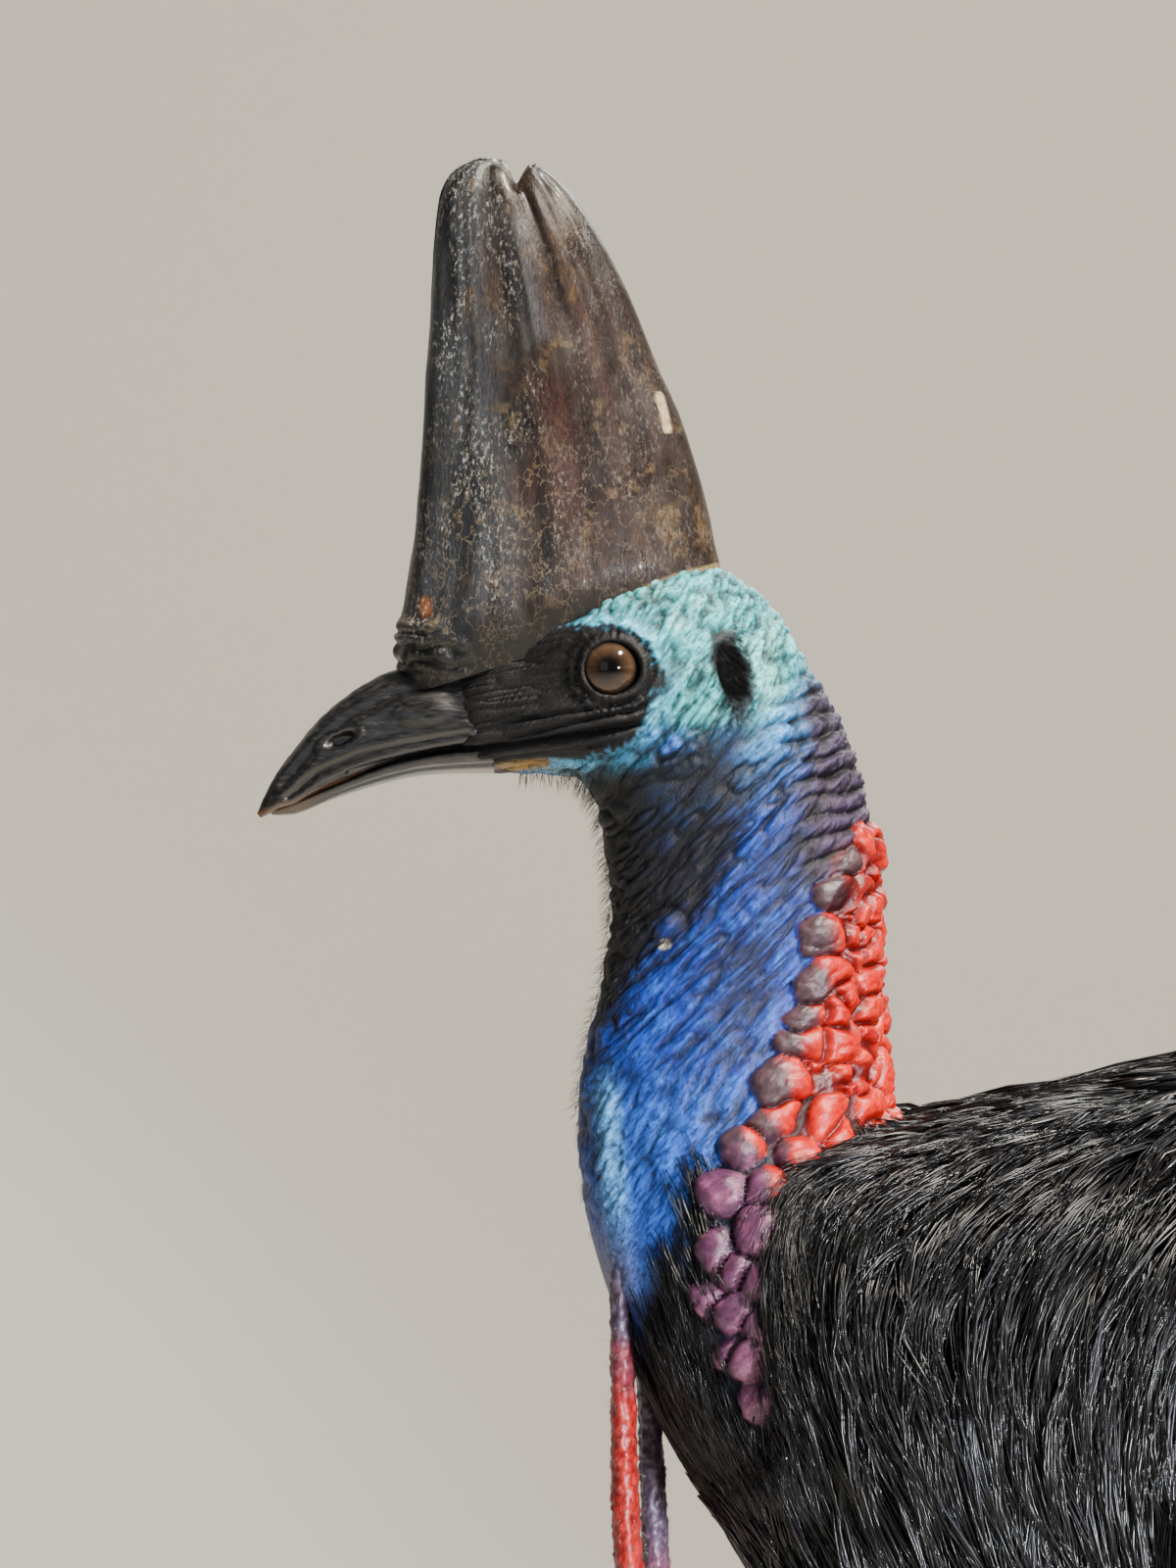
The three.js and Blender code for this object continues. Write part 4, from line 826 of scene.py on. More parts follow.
def skin_piece(name, start, end, step, cols, look=SKIN_LOOK):
    """One stretch of the skin. Its normals come from differences along and around the relief, and at each end
    from rings a fixed step away, so that two stretches that meet are shaded alike. Bulbs are wet, the rest of
    the bare skin less so, and skin under feathers is dry."""
    t = even_stations(SKIN, start, end, step)
    t, a = np.meshgrid(t, np.linspace(-math.pi, math.pi, cols, endpoint=False), indexing="ij")
    p, tint, lumps = skin_surface(t, a)
    along = np.gradient(p, axis=0)
    for row in (0, -1):
        if 0 < t[row, 0] < len(SKIN) - 1:
            along[row] = skin_surface(t[row] + 0.02, a[row])[0] - skin_surface(t[row] - 0.02, a[row])[0]
    around = np.roll(p, -1, 1) - np.roll(p, 1, 1)
    wet = np.maximum(smooth(lumps, 0.3, 2.0), 0.15 + 0.25 * smooth(tint.max(-1), 0.02, 0.1))
    wet = wet * (1 - inside(p[..., 0], p[..., 2], COAT_EDGE, 4) * smooth(lumps, 1, 0))
    skin = tube(name, p, look, "face_skin", flip=True, tint=tint, wet=wet)
    ends = np.array([p[0].mean(0) - p[3].mean(0), p[-1].mean(0) - p[-4].mean(0)])
    normals = np.vstack([unit(np.cross(along, around)).reshape(-1, 3), unit(ends)])
    skin.data.normals_split_custom_set_from_vertices(normals.tolist())
    return skin


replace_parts(skin_piece("skin_head", 0.0, 6.4, 0.8, 300), "head")
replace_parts(skin_piece("skin_neck", 6.4, 11.6, 0.8, 300), "throat", "nape")
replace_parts(skin_piece("skin_collar", 11.6, 15.5, 1.3, 300), "collar")
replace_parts(skin_piece("skin_trunk", 15.5, 22.0, 9.0, 90, UNDER_LOOK), "torso", "tail")


# Eyes.

def eye_look():
    """A dark pupil, an iris of warm grey-brown with faint spokes, and a black edge, under a wet coat."""
    look = Look("eye", 0.08, 0.25, 0.35)
    iris = look.ramp(look.stored("ring"), (0.0, "040404"), (0.24, "050404"), (0.34, "130d09"),
                     (0.5, "30231a"), (0.74, "463526"), (0.83, "31251b"), (0.9, "070605"))
    rays = look.ramp(look.stored("spoke"), (0.0, 0.62), (1.0, 1.2))
    look.give("Base Color", look.mix("MULTIPLY", 1.0, iris, rays))
    return look


EYE_LOOK = eye_look()


def eyeball(side, s):
    """A sphere on the middle of the CAD eye, whose rings run from the middle of the pupil to the back."""
    low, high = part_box("eye_" + side)
    centre = np.array((low + high) / 2) * 1000
    radius = (high.y - low.y) * 500 - 0.15
    polar = np.linspace(0.02, math.pi - 0.02, 56)
    polar, turn = np.meshgrid(polar, np.linspace(0, 2 * math.pi, 64, endpoint=False), indexing="ij")
    axis = unit(np.array([-0.10, s, 0.03]))
    up = unit(np.cross(axis, [1.0, 0, 0]))
    ahead = np.cross(up, axis)
    bulge = 1 + 0.035 * smooth(polar, 0.75, 0.1)
    p = (axis * (np.cos(polar) * bulge)[..., None] + up * (np.sin(polar) * np.cos(turn))[..., None]
         + ahead * (np.sin(polar) * np.sin(turn))[..., None]) * radius + centre
    ring = np.sin(np.minimum(polar, math.pi / 2)) * radius / 11.2
    spoke = noise(np.stack([np.cos(turn) * 9, np.sin(turn) * 9, polar * 2], -1), 1.0, 3)
    ball = tube("eyeball_" + side, p, EYE_LOOK, "eye", flip=s < 0, ring=ring, spoke=spoke)
    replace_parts(ball, "eye_" + side)
for side, s in SIDES:
    eyeball(side, s)


# Casque.

def casque_look():
    """Horn: the colour stored at its points with fine upright scratches, pale flecks and thin veins, polished
    in places."""
    look = Look("casque_horn", 0.36, 0.1, 0.4)
    fine = look.texture(0.7, 4, (0.9, 0.9, 4.5), 0.7)
    blotch = look.texture(13, 5, (0.8, 0.8, 1.8))
    dark = look.ramp(fine, (0.34, 0.45), (0.62, 1.4))
    tint = look.mix("MULTIPLY", 1.0, look.stored("tint", "Color"), dark)
    vein = look.ramp(look.texture(9, 4, (1, 1, 1.4), 0.6), (0.485, 0.0), (0.5, 1.0), (0.515, 0.0))
    vein = look.mix("MULTIPLY", 1.0, vein, look.stored("vein", "Color"))
    tint = look.mix("MIX", vein, tint, "7d705c")
    speck = look.ramp(look.texture(1.3, 6, (1, 1, 2.0), 0.75), (0.54, 0.0), (0.62, 1.0))
    speck = look.mix("MULTIPLY", 1.0, speck, look.stored("speck", "Color"))
    look.give("Base Color", look.mix("MIX", speck, tint, "b0b0ac"))
    look.give("Roughness", look.ramp(blotch, (0.35, 0.24), (0.65, 0.42)))
    look.relief(fine, 0.25)
    return look


# Patches of the casque in the side view: flaked ochre, and broad tones with their softness, strength and
# colour. The last tone is a painted highlight, a grey glossy band up the front.
OCHRE = [
    [(-444, 1371), (-432, 1373), (-420, 1346), (-415, 1331), (-424, 1329), (-437, 1346)],
    [(-410, 1392), (-399, 1390), (-391, 1358), (-397, 1352), (-405, 1370)],
    [(-381, 1350), (-369, 1348), (-362, 1334), (-369, 1329), (-379, 1337)],
    [(-402, 1276), (-350, 1291), (-344, 1268), (-372, 1261), (-396, 1258)],
    [(-447, 1264), (-425, 1260), (-418, 1238), (-440, 1237)],
    [(-436, 1416), (-428, 1414), (-410, 1395), (-398, 1386), (-412, 1408), (-424, 1418)],
]
TONES_AND_HIGHLIGHT = [
    ([(-418, 1336), (-400, 1332), (-392, 1292), (-402, 1278), (-420, 1290)], 9, 0.6, "2c1610"),
    ([(-405, 1385), (-385, 1372), (-360, 1305), (-385, 1300)], 8, 0.5, "3a2c29"),
    # A painted highlight: a grey glossy band up the front.
    ([(-429, 1402), (-419, 1396), (-409, 1352), (-417, 1347)], 4, 0.35, "5a5d64"),
]
SCAR = [(-366, 1328), (-364.4, 1322), (-363, 1315.5)]
RIM = [(-386, 1247.0), (-374, 1252.6), (-360, 1258.6), (-344, 1262.5)]
KNOBS = [(-472, 1243), (-452, 1241), (-441, 1232), (-441, 1222), (-472, 1222)]
NOTCH_FRONT = [(-421.0, 1420), (-416.0, 1400), (-405.0, 1365), (-396.0, 1335)]
NOTCH_REAR = [(-411.0, 1416), (-400.0, 1390), (-385.0, 1350), (-374.0, 1310)]


def casque_tint(p, rear):
    """Colour of the casque over points p: slate in front, brown behind and red-brown between, in upright
    streaks, with flaked ochre patches, a painted highlight in a grey band up the front, and black at its
    foot. Also how many pale flecks and thin veins it has. rear is 0 at the front edge and 1 at the back."""
    x, z = p[..., 0], p[..., 2]
    stops = [0.0, 0.22, 0.42, 0.6, 0.82, 1.0]
    codes = np.array([linear(c) for c in ("303236", "34363a", "261d18", "241a16", "221a17", "1b1512")])
    where = rear + 0.14 * (noise(p, 12, 101) - 0.5)
    paint = Paint(np.stack([np.interp(where, stops, codes[:, k]) for k in range(3)], -1))
    # Broad tones, the last one a painted highlight.
    for patch, soft, strength, code in TONES_AND_HIGHLIGHT:
        paint.lay(inside(x, z, patch, soft) * strength, code)
    up = np.stack([rear * 11, np.sign(p[..., 1]) * 5 + 0 * rear, z / 55], -1)
    streak = noise(up, 1.0, 102) * 0.6 + noise(up * [3.1, 1, 2], 1.0, 103) * 0.4
    paint.tint = paint.tint * (0.35 + 1.05 * smooth(streak, 0.25, 0.72))[..., None]
    flake = noise(p * [1, 1, 0.6], 5.0, 104) * 0.6 + noise(p, 1.8, 105) * 0.4
    for patch in OCHRE:
        paint.lay(inside(x, z, patch, 4.5) * smooth(flake, 0.50, 0.57) * 0.28, "554128")
    paint.lay(smooth(flake, 0.71, 0.74) * 0.35, "65543a")
    paint.lay(smooth(line_distance(x, z, SCAR)[0], 2.0, 1.3), "a8977a")
    growth = smooth(z, 1300, 1275) * smooth(x, -400, -370)
    paint.lay(growth * smooth(noise(p * [0.15, 0.15, 1], 2.2, 106), 0.5, 0.75) * 0.6, "2a1f1a")
    above = z - (1212 + (x + 465) * 0.3226)
    foot = smooth(above + 10 * (noise(p, 9, 111) - 0.5), 30, 6) * smooth(x, -374, -398)
    paint.lay(foot * 0.93, "0a0909")
    paint.lay(smooth(np.hypot((x + 456.5) / 3, (z - 1247) / 5), 1.1, 0.4), "8a4f25")
    paint.lay(smooth(line_distance(x, z, RIM)[0], 1.7, 0.9) * 0.8, "85724f")
    speck = smooth(noise(p * [1, 1, 0.5], 9, 110), 0.25, 0.75) * (1 - foot)
    speck = speck * np.interp(rear, [0, 0.1, 0.35, 0.6, 1], [0.7, 1.0, 0.55, 0.15, 0.15])
    vein = smooth(z, 1335, 1290) * (1 - 0.6 * foot) * np.interp(rear, [0, 0.5, 1], [0.75, 0.5, 0.2])
    return np.clip(paint.tint, 0, 1), speck, vein


def casque_piece():
    """The casque: rings of its table with long ribs, a worn notch whose groove runs down both faces, and
    knobs at the root of its front edge."""
    t = np.linspace(0, len(CASQUE) - 1, 250)
    t, a = np.meshgrid(t, np.linspace(-math.pi, math.pi, 230, endpoint=False), indexing="ij")
    p = ring_point(CASQUE, t, a)
    normal = ring_normal(CASQUE, t, a)
    x, z = p[..., 0], p[..., 2]
    front = column(CASQUE, 0, t)
    rear = np.clip((x - front) / (column(CASQUE, 2, t) - front), 0, 1)
    ribs = np.stack([rear * 13, np.sign(p[..., 1]) * 3, z / 70], -1)
    h = 1.1 * (noise(ribs, 1.0, 61) - 0.5) + 0.4 * (noise(ribs * [2.7, 1, 2.5], 1.0, 62) - 0.5)
    d, s = line_distance(x, z, NOTCH_FRONT)
    h -= (3.2 - 2.9 * s) * bump(d, 0, 2.4 + 2.5 * s)
    d, s = line_distance(x, z, NOTCH_REAR)
    h -= (1.3 - 1.2 * s) * bump(d, 0, 2.0) * smooth(np.abs(p[..., 1]), 2, 6)
    h += 1.2 * (noise(p, 22, 63) - 0.5) + 0.35 * (noise(p * [1, 1, 0.5], 4, 66) - 0.5)
    phase = z / 6.2 + 0.8 * noise(p, 7, 64)
    fold = 1 - np.abs(2 * (phase - np.floor(phase)) - 1) ** 2
    h += inside(x, z, KNOBS, 4) * (2.0 * fold + 1.6 * noise(p, 5, 67) - 0.9)
    h -= smooth(z, 1412, 1420) * 1.2 * noise(p, 3.5, 65)
    p = p + normal * h[..., None]
    notch = np.where(x < -420.6, bump(x, -420.6, 4.2), bump(x, -420.6, 2.4))
    p[..., 2] -= 4.8 * notch * smooth(z, 1404, 1416)
    tint, speck, vein = casque_tint(p, rear)
    casque = tube("casque_horn", p, casque_look(), "casque", sink=14.0, tint=tint, speck=speck, vein=vein)
    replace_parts(casque, "casque")


casque_piece()


# Bill.


def bill_look():
    """Black horn, worn along its length, with a brown edge near the tip."""
    look = Look("bill_horn", 0.28, 0.5)
    scratch = look.texture(1.6, 5, (6.0, 1.0, 1.0), 0.65)
    tone = look.ramp(scratch, (0.35, "070708"), (0.6, "1c1b1b"), (0.8, "4a4745"))
    look.give("Base Color", look.mix("MIX", look.stored("edge"), tone, "5d4330"))
    look.give("Roughness", look.ramp(scratch, (0.35, 0.26), (0.75, 0.5)))
    look.relief(scratch, 0.22)
    return look


BILL_LOOK = bill_look()

# Lines of the bill in the side view: grooves beside the ridge and over the edge, and one near the gape.
RIDGE_GROOVE = [(-512, 1178), (-500, 1192), (-488, 1203), (-470, 1213), (-452, 1217)]
EDGE_GROOVE = [(-510, 1173), (-498, 1183), (-482, 1190), (-464, 1194), (-440, 1198)]
GAPE_GROOVE = [(-486, 1183.6), (-470, 1188), (-455, 1191.5), (-440, 1193.5)]
NOSTRIL = (-489.8, 1195.5)
NOSTRIL_LEAN = 0.4


def upper_bill():
    """The upper half of the bill: a ridge, grooves beside it, a nostril sunk in its hollow and a pale cutting
    edge towards the tip."""
    t = even_stations(UPPER_BILL, 0.0, 6.0, 0.7)
    t, a = np.meshgrid(t, np.linspace(-math.pi, math.pi, 170, endpoint=False), indexing="ij")
    p = ring_point(UPPER_BILL, t, a)
    normal = ring_normal(UPPER_BILL, t, a)
    x, z = p[..., 0], p[..., 2]
    c, s = math.cos(NOSTRIL_LEAN), math.sin(NOSTRIL_LEAN)
    ahead, above = x - NOSTRIL[0], z - NOSTRIL[1]
    hole = np.hypot((ahead * c + above * s) / 7.4, (above * c - ahead * s) / 2.9)
    h = -3.4 * smooth(hole, 1.0, 0.5) + 0.9 * bump(hole, 1.25, 0.22)
    side = smooth(np.abs(p[..., 1]), 2.0, 5.0)
    d = line_distance(x, z, RIDGE_GROOVE)[0]
    h += side * (-1.0 * bump(d, 0, 1.6) + 0.4 * bump(d, 3.2, 1.6))
    d = line_distance(x, z, EDGE_GROOVE)[0]
    h += side * (-0.9 * bump(d, 0, 1.1) + 0.7 * bump(d, 2.6, 1.6))
    d = line_distance(x, z, GAPE_GROOVE)[0]
    h += side * -0.6 * bump(d, 0, 0.8)
    swell = np.hypot((x + 458) / 17, (z - 1207) / 9)
    h += side * 2.0 * smooth(swell, 1.0, 0.2)
    h += 0.3 * (noise(p * [0.25, 1, 1], 2.0, 71) - 0.5)
    low = ring_point(UPPER_BILL, t, np.full_like(a, math.pi))[..., 2]
    edge = smooth(z - low, 3.2, 1.2) * smooth(x, -475, -490) * 0.8
    bill = tube("bill_upper_horn", p + normal * h[..., None], BILL_LOOK, "bill", edge=edge)
    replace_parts(bill, "bill_upper")


def lower_bill():
    """The lower half of the bill, with a groove along its side, brown at the tip and along the gape."""
    t = even_stations(LOWER_BILL, 0.0, 5.0, 0.9)
    t, a = np.meshgrid(t, np.linspace(-math.pi, math.pi, 120, endpoint=False), indexing="ij")
    p = ring_point(LOWER_BILL, t, a)
    normal = ring_normal(LOWER_BILL, t, a)
    x, z = p[..., 0], p[..., 2]
    middle = (column(LOWER_BILL, 1, t) + column(LOWER_BILL, 3, t) * 2) / 3
    h = -0.5 * bump(z - middle, 0, 1.0) * smooth(np.abs(p[..., 1]), 2, 5)
    low = ring_point(LOWER_BILL, t, np.full_like(a, math.pi))[..., 2]
    edge = smooth(x, -492, -508) * 0.5
    edge = edge + smooth(x, -456, -432) * smooth(z - low, 3.2, 1.4) * 0.9
    bill = tube("bill_lower_horn", p + normal * h[..., None], BILL_LOOK, "bill", edge=edge)
    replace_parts(bill, "bill_lower")


upper_bill()
lower_bill()


# Tubes along a path: wattles, legs, toes, claws, quills.

def along_path(points, count):
    """Points and unit tangents at even steps on a smooth curve through the given points."""
    pts = np.array(points, float)
    t = np.linspace(0, len(pts) - 1, 900)
    line = np.stack([column(pts, k, t) for k in range(3)], -1)
    far = np.concatenate([[0], np.cumsum(np.linalg.norm(np.diff(line, axis=0), axis=1))])
    at = np.linspace(0, far[-1], count)
    line = np.stack([np.interp(at, far, line[:, k]) for k in range(3)], -1)
    return line, unit(np.gradient(line, axis=0))


def swept(points, rows, cols, wide, high, side=(1.0, 0, 0)):
    """A grid of rings along a path. A ring is an ellipse with half sizes wide(s) along the side and high(s)
    across it, at share s of the path. Also gives s and the outward direction."""
    line, tangent = along_path(points, rows)
    s = np.linspace(0, 1, rows)[:, None]
    turn = np.linspace(0, 2 * math.pi, cols, endpoint=False)[None, :]
    across = unit(np.cross(tangent, np.array(side, float)))
    over = np.cross(across, tangent)
    out = over[:, None] * (np.cos(turn) * wide(s))[..., None]
    out = out + across[:, None] * (np.sin(turn) * high(s))[..., None]
    return line[:, None] + out, s + 0 * turn, unit(out)


WATTLES = {
    "left": [(-381.5, -26, 1016), (-381.2, -23, 985), (-380.4, -18, 948), (-379.5, -16, 910),
             (-378, -16, 878), (-376, -16, 856)],
    "right": [(-374, 7, 985), (-370, 11, 935), (-368, 13, 895), (-367, 14, 862), (-366.5, 14, 843)],
}


def wattle(side):
    """A hanging lobe that widens towards a round tip, covered in granules with painted shade between them,
    purple-grey at the top and red below. Gives its smooth surface and the outward direction, for its
    bristles."""
    def taper(s):
        return np.sqrt(np.maximum(0.004, 1 - (np.clip((s - 0.86) / 0.14, 0, 1)) ** 2))

    def wide(s):
        return (3.9 + 2.3 * s) * taper(s)

    def high(s):
        return (6 + 7 * s) * taper(s)

    p, s, out = swept(WATTLES[side], 150, 72, wide, high)
    z = p[..., 2]
    grains = cells(p * [1, 1, 0.8], 3.4, 5)
    h = 0.7 - 1.3 * grains + 0.8 * (noise(p, 9, 81) - 0.5) + 0.7 * wrinkles(p, 8, 3.0, 9, 83)
    if side == "right":
        red = smooth(z, 890, 840) * 0.7
    else:
        red = smooth(z + 14 * (noise(p, 8, 82) - 0.5), 972, 935)
    paint = Paint(np.broadcast_to(linear("4a3c4f"), p.shape))
    paint.lay(red, "99201d")
    paint.lay(smooth(z, 985, 1008) * 0.8, "356c9e")
    # Painted shade between the granules and painted light on their tops.
    tint = paint.tint * np.clip(1.25 - 0.85 * grains, 0.35, 1.15)[..., None]
    rough = p + out * h[..., None] * taper(s)[..., None]
    lobe = tube("wattle_skin_" + side, rough, WATTLE_LOOK, "wattle", tint=tint, wet=np.full(s.shape, 0.6))
    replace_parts(lobe, "wattle_" + side)
    return p, out


wattle_left = wattle("left")
wattle_right = wattle("right")
# Feathers.

# Half width of a blade along its length, as places and shares of its widest part.
BLADE_SHAPE = ([0, 0.25, 0.6, 0.85, 1], [0.7, 1, 0.85, 0.45, 0])
BLADE_PATCH = 0.003
PIECE_TRIANGLES = 190000


def blades(name, path, side, out, half, uv, tone, look=COAT_LOOK, slot="plumage"):
    """Many tapered blades of three sides as closed meshes: path, side and out are arrays of a place and two
    directions for each of several rings of each blade, and the last ring is a point. Each blade has a small
    patch of the UV map, at its root's place on the unwrapped skin. Pieces are kept under a number of
    triangles."""
    count, rings = path.shape[:2]
    each = (rings - 2) * 6 + 4
    groups = np.array_split(np.arange(count), max(1, math.ceil(count * each / PIECE_TRIANGLES)))
    shape = half[:, None] * np.interp(np.linspace(0, 1, rings), *BLADE_SHAPE)[None]
    ring, k = np.meshgrid(np.arange(rings - 2) * 3, np.arange(3), indexing="ij")
    after = (k + 1) % 3
    quads = np.stack([ring + k, ring + after, ring + 3 + after, ring + 3 + k], -1).reshape(-1, 4)
    last = (rings - 2) * 3
    tip = last + 3
    tris = np.array([[last, last + 1, tip], [last + 1, last + 2, tip], [last + 2, last, tip], [0, 2, 1]])
    per = tip + 1
    across = np.arange(per) % 3 / 2 - 0.5
    across[-1] = 0
    share = np.minimum(np.arange(per) // 3 / (rings - 1), 1) - 0.5
    patch = BLADE_PATCH * np.stack([across, share], -1)[None]
    made = []
    for number, group in enumerate(groups):
        c, w = path[group], shape[group][..., None]
        sd, up = side[group], out[group]
        corners = np.stack([c - sd * w, c + sd * w, c + up * w * 0.8], 2)[:, :-1]
        verts = np.concatenate([corners.reshape(len(group), -1, 3), c[:, -1:]], 1)
        base = (np.arange(len(group)) * per)[:, None, None]
        faces = [(quads[None] + base).reshape(-1, 4), (tris[None] + base).reshape(-1, 3)]
        places = np.clip(uv[group][:, None] + patch, 0, 1)
        tones = np.repeat(tone[group], per)
        made.append(make(f"{name}_{number + 1}", verts, faces, look, slot, uv=places, tone=tones))
    return made


def coat_place(t, a, depth):
    """Points between the skin (depth 0) and the outside of the plumage (depth 1)."""
    low, high = ring_point(SKIN, t, a), ring_point(COAT, t, a)
    return low + (high - low) * np.asarray(depth)[..., None]


def coat_frame(surface, t, a, depth):
    """The place at a depth, the two derivatives of the surface there, and its outward normal."""
    e = 0.01
    here = surface(t, a, depth)
    dt = (surface(t + e, a, depth) - here) / e
    da = (surface(t, a + e, depth) - here) / e
    return here, dt, da, unit(np.cross(dt, da))


def lie(p, a):
    """The way feathers hang: back along the spine, down the flank, slanting forward at the shoulder and back
    behind it, and back and down under the belly."""
    flank = smooth(np.abs(np.sin(a)), 0.0, 0.15)[..., None]
    under = smooth(-np.cos(a), -0.1, 0.7)[..., None]
    slant = np.interp(p[..., 0], [-330, -240, -150, -50, 200, 500], [-0.22, -0.26, -0.16, 0.04, 0.42, 0.3])
    slant = slant + 0.75 * smooth(p[..., 2], 960, 880) * smooth(p[..., 0], -250, -320)
    slant = slant * smooth(np.abs(np.sin(a)), 0.15, 0.8)
    zero = np.zeros_like(slant)
    spine = np.stack([zero + 0.5, zero, zero - 0.1], -1)
    down = np.stack([slant, zero, zero - 1], -1)
    belly = np.stack([zero + 0.5, zero, zero - 0.85], -1)
    way = spine + (down - spine) * flank
    return unit(way + (belly - way) * under)


# Where feathers grow: points at a ring, turn and depth, the way they lie, the first and last ring with roots,
# the ring past which they hang free, and what is added to the rings on the UV map.
Bed = namedtuple("Bed", "surface way low high end shift")


def grow_coat(bed, t, a, length, level, steps):
    """Paths of feathers from roots at rings t and turns a: steps of even length along the lie, projected on
    the surface by least squares, while the depth rises from the skin to each feather's level. Past the last
    ring a feather hangs down."""
    path, sides, outs = [], [], []
    droop = rng.uniform(50, 110, len(t))
    yaw = rng.normal(0, 0.15, (len(t), 1))
    for i in range(steps):
        s = i / (steps - 1)
        depth = level * np.interp(s, [0, 0.3, 0.65, 1], [0.0, 0.62, 0.93, 1.0])
        here, dt, da, normal = coat_frame(bed.surface, np.minimum(t, bed.end), a, depth)
        way = bed.way(here, a)
        way = unit(way + unit(np.cross(normal, way)) * yaw)
        tt, ta, aa = (dt * dt).sum(-1), (dt * da).sum(-1), (da * da).sum(-1)
        wt, wa = (dt * way).sum(-1), (da * way).sum(-1)
        det = np.maximum(tt * aa - ta * ta, 1e-6)
        ft, fa = (wt * aa - wa * ta) / det, (wa * tt - wt * ta) / det
        moved = np.linalg.norm(dt * ft[:, None] + da * fa[:, None], axis=1)
        here[:, 2] -= droop * np.maximum(0, t - bed.end)
        path.append(here)
        outs.append(normal)
        sides.append(unit(np.cross(normal, way)))
        step = length / (steps - 1) / np.maximum(moved, 1e-3)
        t, a = t + ft * step, a + fa * step
    return np.stack(path, 1), np.stack(sides, 1), np.stack(outs, 1)


def roots(bed, count, weight):
    """Random places on the coat, spread by area times a weight that depends on the place."""
    tries = max(count * 14, 300000)
    t, a = rng.uniform(bed.low, bed.high, tries), rng.uniform(-math.pi, math.pi, tries)
    here, dt, da, normal = coat_frame(bed.surface, t, a, np.zeros(len(t)))
    share = np.linalg.norm(np.cross(dt, da), axis=1) * weight(here, t, a)
    pick = rng.choice(len(t), count, replace=False, p=share / share.sum())
    return t[pick], a[pick]


def covered(p):
    """1 where the neck and trunk carry feathers: behind the edge of the bare skin."""
    x, z = p[..., 0], p[..., 2]
    coat = inside(x, z, COAT_EDGE, 2.5)
    return np.where(x < -250, coat, np.maximum(coat, smooth(x, -262, -250)))


def near_camera(p):
    """1 on the part of the coat that the photo shows."""
    return smooth(p[..., 0], -120, -150) * smooth(p[..., 2], 790, 830) * smooth(p[..., 1], 40, 20)


def coat_length(p, t):
    """Length of the feathers: short at the edge of the bare neck, long over the trunk, longest on the
    rump."""
    length = np.interp(t, [11, 12, 13, 14, 15, 17, 19, 21, 22], [24, 34, 54, 72, 95, 135, 165, 190, 150])
    patch = inside(p[..., 0], p[..., 2], NECK_HAIR, 6)
    return length * (1 - 0.45 * patch)


def edge_rise(p):
    """0 at the edge of the bare skin and 1 some way behind it, where the feathers stand off fully."""
    x, z = p[..., 0], p[..., 2]
    return np.where(x < -230, inside(x, z, COAT_EDGE, 28) * 2 - 1, 1.0).clip(0, 1)


def tufts(name, bed, clumps, each, weight, radius, half, steps, long_of, rise=lambda p: 1.0, pale=1.0):
    """Feathers in clumps that share a root and draw together towards their tips, each with its own length,
    which is a share of the clump's path. Each one swings in two slow waves, and is turned a little about its
    own line."""
    t, a = roots(bed, clumps, weight)
    here = bed.surface(t, a, np.zeros(len(t)))
    length = long_of(here, t) * rng.uniform(0.8, 1.2, clumps)
    level = (1 - 0.5 * rng.random(clumps) ** 1.5) * (0.35 + 0.65 * rise(here))
    path, side, out = grow_coat(bed, t, a, length, level, steps)
    s = np.linspace(0, 1, steps)
    close = radius * (1 - 0.82 * s ** 0.8)
    angle, far = rng.uniform(0, 2 * math.pi, (clumps, each)), np.sqrt(rng.random((clumps, each)))
    u, v = np.cos(angle) * far, np.sin(angle) * far
    wave = rng.normal(0, 1, (clumps, each, 2))
    sway = radius * 0.45 * (wave[..., 0:1] * np.sin(s * 3.1) + wave[..., 1:2] * np.sin(s * 6.5) * 0.5)
    shift = u[..., None] * close + sway
    lift = np.clip(v[..., None] * close * 0.45 + 0.3 * close, -0.5 * radius, None)
    p = path[:, None] + side[:, None] * shift[..., None] + out[:, None] * lift[..., None]
    keep = rng.uniform(0.7, 1.0, (clumps, each))
    pull = s * keep[..., None]
    i = np.clip((pull * (steps - 1)).astype(int), 0, steps - 2)
    f = (pull * (steps - 1) - i)[..., None]
    rows = np.arange(clumps)[:, None, None]
    cols = np.arange(each)[None, :, None]
    p = (p[rows, cols, i] * (1 - f) + p[rows, cols, i + 1] * f).reshape(-1, steps, 3)
    side, out = np.repeat(side, each, 0), np.repeat(out, each, 0)
    twist = rng.uniform(-0.9, 0.9, (len(p), 1, 1))
    c, s = np.cos(twist), np.sin(twist)
    side, out = side * c + out * s, out * c - side * s
    uv = np.repeat(np.stack([(t + bed.shift) / 30, (a / (2 * math.pi)) % 1.0], -1), each, 0)
    # Each feather's tone, by clump and by feather, scaled by pale: partly real variation, and the paler
    # feathers partly a painted highlight.
    tone = np.clip(np.repeat(rng.random(clumps), each) * 0.5 + rng.random(len(p)) * 0.5, 0, 1)
    width = half * rng.uniform(0.7, 1.3, len(p))
    return blades(name, p, side, out, width, uv, tone * pale)


def fine_weight(p, t, a):
    """Weight of a place for fine feathers: the part that the photo shows, more along the spine."""
    return covered(p) * near_camera(p) * (1 + 1.2 * smooth(np.abs(a), 0.7, 0.3))


def rest_weight(p, t, a):
    """Weight of a place for wide feathers: the rest of the coat, more along the spine ahead of the rump."""
    return covered(p) * (1 - near_camera(p)) * (1 + 1.8 * smooth(np.abs(a), 0.9, 0.4) * smooth(t, 18.5, 17))


